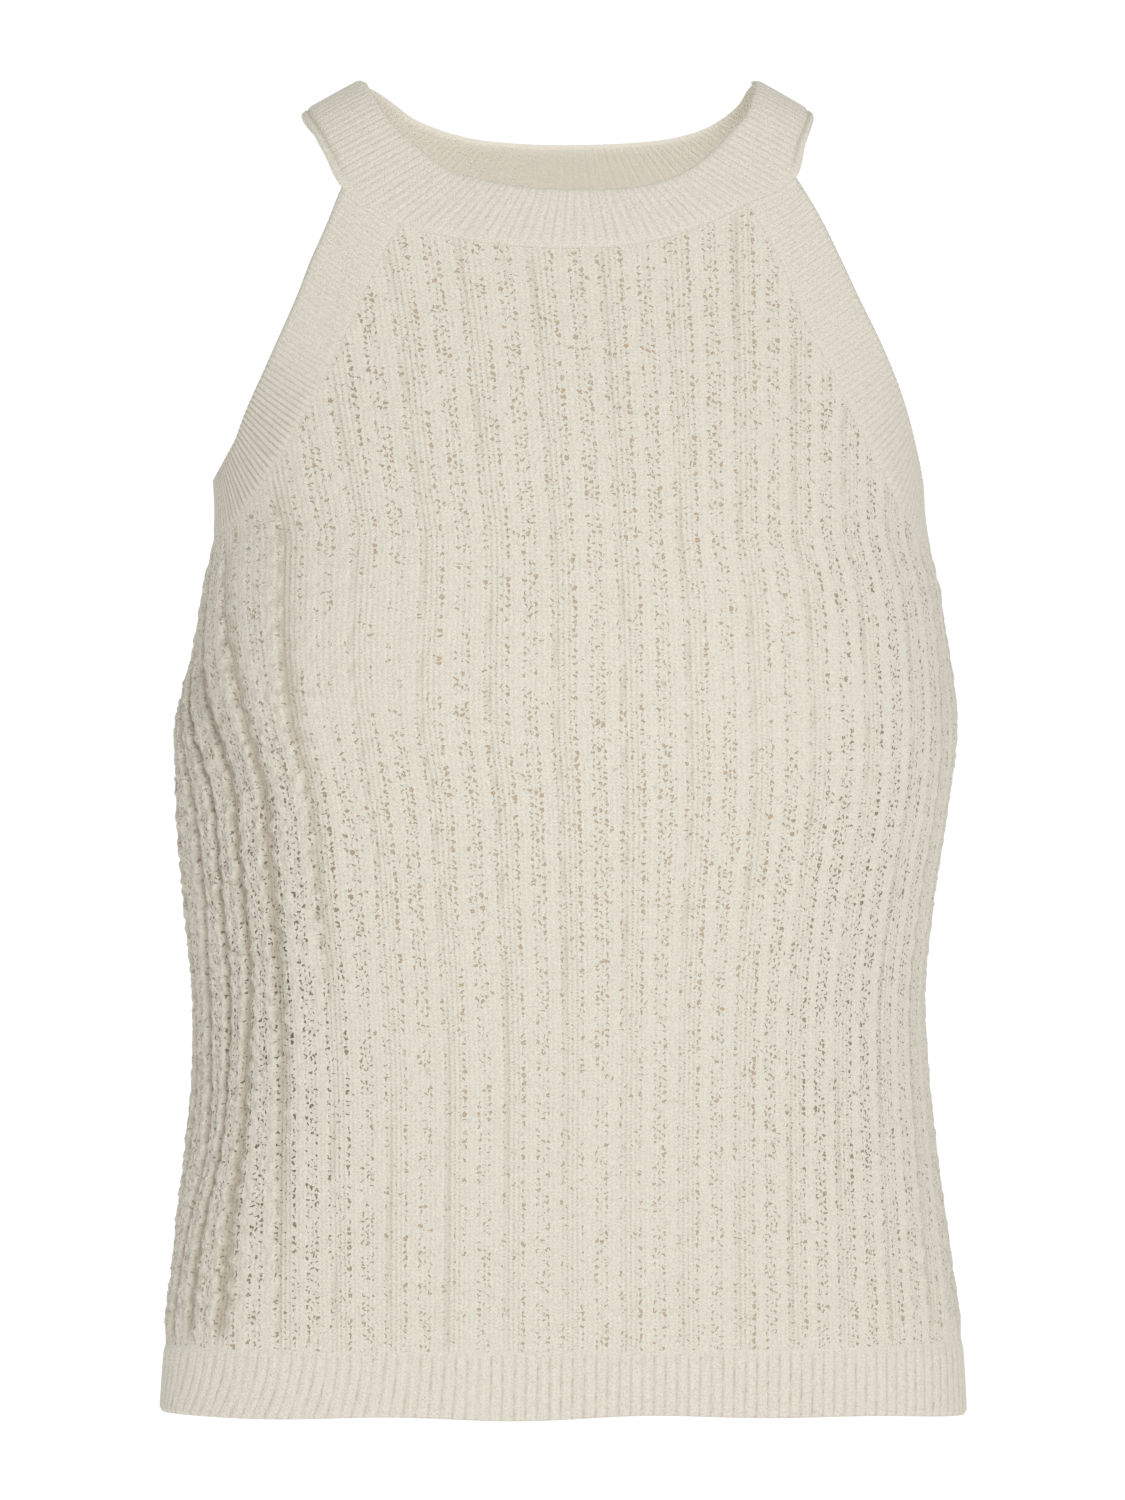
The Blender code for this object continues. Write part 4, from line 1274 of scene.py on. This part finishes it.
@dataclass
class RibbedPiece(KnittedPiece):
    """A piece in one by one rib, with one free side."""

    stitch: RibStitch = field(default_factory=RibStitch)
    ribs: int = 80
    rows: int = 16
    columns_per_rib: int = 8
    inner_columns_per_rib: int = 4
    free_side: int = 2

    def sheet(self, columns: int, rows: int, outside: bool) -> Sheet:
        """One face of the piece."""
        raise NotImplementedError

    def build_as(self, node: str, *hangs_on: str) -> bpy.types.Object:
        """Makes the piece, in place of a solid."""
        outer = self.sheet(self.ribs * self.columns_per_rib, self.rows, True)
        inner = self.sheet(self.ribs * self.inner_columns_per_rib, self.rows // 2, False)
        piece = knitted_wall(f"{node}_knit", outer, inner, (self.free_side,))
        return self.dress(piece, node, inner.points, hangs_on)


@dataclass
class HemRib(RibbedPiece):
    """One half of the hem rib. Its foot waves a little and dips to the right."""

    half: Half = Half.FRONT
    free_side: int = 0
    wave: float = 0.0009
    waves: float = 3.5
    dip: float = 0.0034
    dip_start: float = 0.35
    slant: float = 1.6

    def sheet(self, columns: int, rows: int, outside: bool) -> Sheet:
        """One face of the rib, from its foot up to the panel."""
        turn = np.linspace(-1, 1, columns + 1)[None, :]
        dip = np.clip((turn - self.dip_start) / (1 - self.dip_start), 0, 1)
        foot = HEM_FOOT - self.dip * np.sin(dip * math.pi / 2) ** 2
        foot = foot + self.wave * np.sin(self.waves * math.pi * turn) * (1 - turn**2)
        up = np.linspace(0, 1, rows + 1)[:, None]
        height = foot + (HEM_TOP - foot) * up
        turn = turn + 0 * height
        slant = self.slant * smooth(-0.10, -0.85, turn) * (1 - smooth(-0.9, -1.0, turn))
        ribs = (turn + 1) / 2 * self.ribs + slant * (up - 1) ** 2
        if self.half is Half.BACK:
            ribs = self.ribs - ribs
        shown = 1 - 0.9 * smooth(0.86, 1.0, up)
        rise = self.stitch.rise(ribs, height) * shown
        edge = rounded(height - foot, *HEM_EDGE) + rounded(HEM_TOP - height, *HEM_SEAM_EDGE)
        # Painted shade in the dips between ribs, fading out towards the panel.
        hollow_shade = 1.1 * self.stitch.valley_shade(rise, shown) ** 2 * shown
        width = 2 * self.form.reach(height, self.half) / self.ribs
        knit = np.stack([ribs * width.mean(), height - HEM_FOOT], axis=-1)
        out = self.stitch.out(rise, edge, outside)
        return Sheet(self.form.cloth(turn, height, self.half, out), knit, {"hollow_shade": hollow_shade})

    def build(self) -> bpy.types.Object:
        """Makes this half of the hem rib."""
        return self.build_as(f"hem_rib_{self.half.value}", f"{self.half.value}_panel_knit")


@dataclass
class Neckband(RibbedPiece):
    """One half of the neckband, ribbed across, from the crest of one strap to the other.

    The ribs lean: their feet lie farther out than their tops, by up to a share of half the seam.
    """

    half: Half = Half.FRONT
    stitch: RibStitch = field(default_factory=lambda: RibStitch(ridge=0.00040, inner_rise=0.5))
    ribs: int = 88
    inner_columns_per_rib: int = 8
    rows: int = 18
    turned_edge: float = 0.0034
    groove_width: float = 0.0007
    groove_depth: float = 0.0006
    notch_fade: float = 0.04
    lean: float = 0.10

    def sheet(self, columns: int, rows: int, outside: bool) -> Sheet:
        """One face of the band, from its seam up to its edge."""
        lines = (NECK_SEAMS[self.half], NECK_EDGES[self.half])
        seam, top = (self.form.spaced(line, self.half, columns + 1) for line in lines)
        along = np.linspace(-1, 1, columns + 1)
        seam = resampled(seam, along, along + self.lean * np.sin(math.pi * along))
        up = np.linspace(0, 1, rows + 1)
        up = (up + 0.5 - 0.5 * np.cos(math.pi * up))[:, None] / 2
        turn = seam[:, 0] + (top[:, 0] - seam[:, 0]) * up
        height = seam[:, 1] + (top[:, 1] - seam[:, 1]) * up
        width, length = self.form.band_size(turn, height, self.half)
        above, below = width * up, width * (1 - up)
        ribs = np.linspace(0, self.ribs, columns + 1)[None, :] + 0 * up
        shown = 0.15 + 0.85 * smooth(0.0002, 0.0050, above)
        shown = shown * (0.35 + 0.65 * smooth(0.0004, 0.0022, below))
        rise = self.stitch.rise(ribs, above) * shown

        front = self.half is Half.FRONT
        notches = (LEFT_NOTCH.turn, RIGHT_NOTCH.turn) if front else (-BACK_NOTCH.turn, BACK_NOTCH.turn)
        fades = [smooth(at, at + math.copysign(self.notch_fade, at), seam[:, 0]) for at in notches]
        free = sum(fades)[None, :]
        fold = self.turned_edge
        groove = free * np.exp(-(((above - fold) / self.groove_width) ** 2))
        rise = rise * (1 - 0.8 * free * (1 - smooth(fold - 0.0005, fold + 0.0005, above)))
        edge = rounded(below, *BAND_EDGE) + free * rounded(above, *STRAP_EDGE)
        out = self.stitch.out(rise, edge, outside)
        if outside:
            out = out - self.groove_depth * groove
        # Painted shade in the dips between ribs and in the groove beside the turned edge of the straps.
        hollow_shade = shown * self.stitch.valley_shade(rise, shown) * (1 - free * (above < fold - 0.0004))
        knit = np.stack([ribs / self.ribs * length, above], axis=-1)
        looks = {"hollow_shade": 0.65 * hollow_shade**1.5 + 0.55 * groove}
        return Sheet(self.form.cloth(turn, height, self.half, out), knit, looks)

    def build(self) -> bpy.types.Object:
        """Makes this half of the neckband."""
        return self.build_as(f"neckband_{self.half.value}")


@dataclass
class ArmholeBand(RibbedPiece):
    """One armhole band, ribbed across: down the front, under the arm and up the back.

    The ribs lean: their feet lie nearer the neck than their tops, by up to a share of the seam.
    The band's end at the neck follows the neck seam.
    """

    side: Side = Side.LEFT
    stitch: RibStitch = field(default_factory=lambda: RibStitch(ridge=0.00066))
    ribs: int = 132
    lean: float = 0.095
    end_fade: float = 0.15
    end_tuck: float = 0.0004
    left_depth: float = 1.0
    right_depth: float = 0.30

    def half_places(self, half: Half, columns: int, rows: int) -> Array:
        """Places on one half of the band, rows from the seam to the edge."""
        seam, edge = (self.form.spaced(line, half, columns) for line in ARMHOLES[half, self.side])
        along = np.linspace(0, 1, columns)
        seam = resampled(seam, along, along - self.lean * np.sin(math.pi * along**1.5))
        places = seam + (edge - seam) * np.linspace(0, 1, rows + 1)[:, None, None]
        places[..., 0] *= self.side.value
        neck = self.form.spaced(NECK_SEAMS[half], half, 400)
        cut = np.interp(places[:, 0, 0], neck[:, 0], neck[:, 1]) + self.end_tuck
        fade = np.clip(1 - np.arange(columns) / (columns * self.end_fade), 0, 1)
        places[..., 1] += (cut - places[:, 0, 1])[:, None] * fade
        return places

    def half_sheet(self, half: Half, columns: int, rows: int, outside: bool) -> tuple[Array, Array, Array]:
        """The points, the knit and the painted shade between the ribs on one half of a face, from the neck
        down.
        """
        places = self.half_places(half, columns + 1, rows)
        turn, height = places[..., 0], places[..., 1]
        width, length = self.form.band_size(turn, height, half)
        up = np.linspace(0, 1, rows + 1)[:, None]
        along = np.linspace(0, 0.5, columns + 1)[None, :] + 0 * up
        ribs = (along if half is Half.FRONT else 1 - along) * self.ribs
        depth = self.left_depth if self.side is Side.LEFT else self.right_depth
        shown = 0.2 + 0.8 * smooth(0.0002, 0.0040, width * up)
        shown = shown * (0.45 + 0.55 * depth * smooth(0.20, 0.36, along))
        rise = self.stitch.rise(ribs, width * up) * shown
        edge = rounded(width * (1 - up), *BAND_EDGE) + rounded(width * up, *SEAM_EDGE)
        out = self.stitch.out(rise, edge, outside)
        knit = np.stack([ribs / self.ribs * 2 * length, width * up], axis=-1)
        # Painted shade in the dips between ribs, more of it away from the neck and on the left band.
        deeper_shade = 0.8 + 1.5 * depth * smooth(0.18, 0.34, along)
        hollow_shade = np.clip(shown * self.stitch.valley_shade(rise, shown) ** 1.5 * deeper_shade, 0, 1)
        return self.form.cloth(turn, height, half, out), knit, hollow_shade

    def sheet(self, columns: int, rows: int, outside: bool) -> Sheet:
        """One face of the band, from its seam to its free edge."""
        faces = [self.half_sheet(half, columns // 2, rows, outside) for half in Half]
        joined = [np.concatenate([front, back[:, -2::-1]], axis=1) for front, back in zip(*faces)]
        points, knit, hollow_shade = joined
        return Sheet(points, knit, {"hollow_shade": hollow_shade})

    def build(self) -> bpy.types.Object:
        """Makes the band."""
        node = f"armhole_band_{self.side.name.lower()}"
        return self.build_as(node, "neckband_front_knit", "neckband_back_knit")


# --- The set ---------------------------------------------------------------------------


@dataclass
class Studio:
    """A pale floor, a white surround, one soft light and the photograph's camera."""

    turned: float = -7.0
    distance: float = 4.0
    aim: Vector = field(default_factory=lambda: Vector((0.0, 0.0, -0.2725)))
    frame_height: float = 0.625
    sensor: float = 36.0
    floor_level: float = -1.30
    floor_size: float = 9.0
    floor_colour: float = 0.93
    floor_glow: float = 0.42
    floor_roughness: float = 0.9
    surround: float = 0.575
    seen_surround: float = 1.05
    lamp_place: tuple[float, float, float] = (0.38, -3.05, 1.65)
    lamp_size: float = 1.4
    lamp_power: float = 48.5

    def build(self) -> None:
        """Sets it all up."""
        self.camera()
        self.floor()
        self.sky()
        self.lamp()

    def camera(self) -> None:
        """The photograph's view."""
        angle = math.radians(self.turned)
        data = bpy.data.cameras.new("camera")
        data.sensor_width = self.sensor
        data.lens = self.sensor * self.distance / self.frame_height
        camera = bpy.data.objects.new("camera", data)
        camera.location = self.aim + Vector((math.sin(angle), -math.cos(angle), 0)) * self.distance
        camera.rotation_euler = (math.pi / 2, 0, angle)
        bpy.context.scene.collection.objects.link(camera)
        bpy.context.scene.camera = camera

    def floor(self) -> None:
        """A plain pale floor, well below the top."""
        mesh = bpy.data.meshes.new("floor")
        size = self.floor_size
        corners = [(-size, -size), (size, -size), (size, size), (-size, size)]
        mesh.from_pydata([(x, y, self.floor_level) for x, y in corners], [], [(0, 1, 2, 3)])
        floor = new_piece("floor", mesh)
        pale = Canvas("pale_floor").shade(
            Base_Color=(*[self.floor_colour] * 3, 1.0),
            Roughness=self.floor_roughness,
            Emission_Color=(1.0, 1.0, 1.0, 1.0),
            Emission_Strength=self.floor_glow,
        )
        floor.data.materials.append(pale)

    def sky(self) -> None:
        """White all round: full white where the camera sees it, softer as light."""
        world = bpy.data.worlds.new("white_surround")
        world.use_nodes = True
        tree = world.node_tree
        seen = add_node(tree, "ShaderNodeLightPath").outputs["Is Camera Ray"]
        levels = {"Value": seen, "To_Min": self.surround, "To_Max": self.seen_surround}
        strength = add_node(tree, "ShaderNodeMapRange", None, **levels).outputs[0]
        feed(tree, tree.nodes["Background"], Color=(1.0, 1.0, 1.0, 1.0), Strength=strength)
        bpy.context.scene.world = world
        bpy.context.scene.view_settings.view_transform = "Standard"

    def lamp(self) -> None:
        """A square soft light that faces the top."""
        data = bpy.data.lights.new("key_light", "AREA")
        data.size = self.lamp_size
        data.energy = self.lamp_power
        lamp = bpy.data.objects.new("key_light", data)
        lamp.location = self.lamp_place
        lamp.rotation_euler = (self.aim - lamp.location).to_track_quat("-Z", "Y").to_euler()
        bpy.context.scene.collection.objects.link(lamp)


def main() -> None:
    """Dresses the top piece by piece and sets it before the camera."""
    logging.basicConfig(level=logging.INFO, format="%(message)s")
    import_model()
    Studio().build()
    form = BodyForm()
    body_knit = MarlYarn("cable_knit_yarn").material()
    rib_knit = MarlYarn("rib_knit_yarn", open_knit=False).material()
    for half in Half:
        Neckband(form, rib_knit, "rib_knit", half=half).build()
    for side in Side:
        ArmholeBand(form, rib_knit, "rib_knit", side=side).build()
    seams = SeamRuns(form, rib_knit)
    for half in Half:
        chains = seams.build(half)
        BodyPanel(form, body_knit, "body_knit", half=half).build(chains)
        HemRib(form, rib_knit, "rib_knit", half=half).build()


if __name__ == "__main__":
    main()
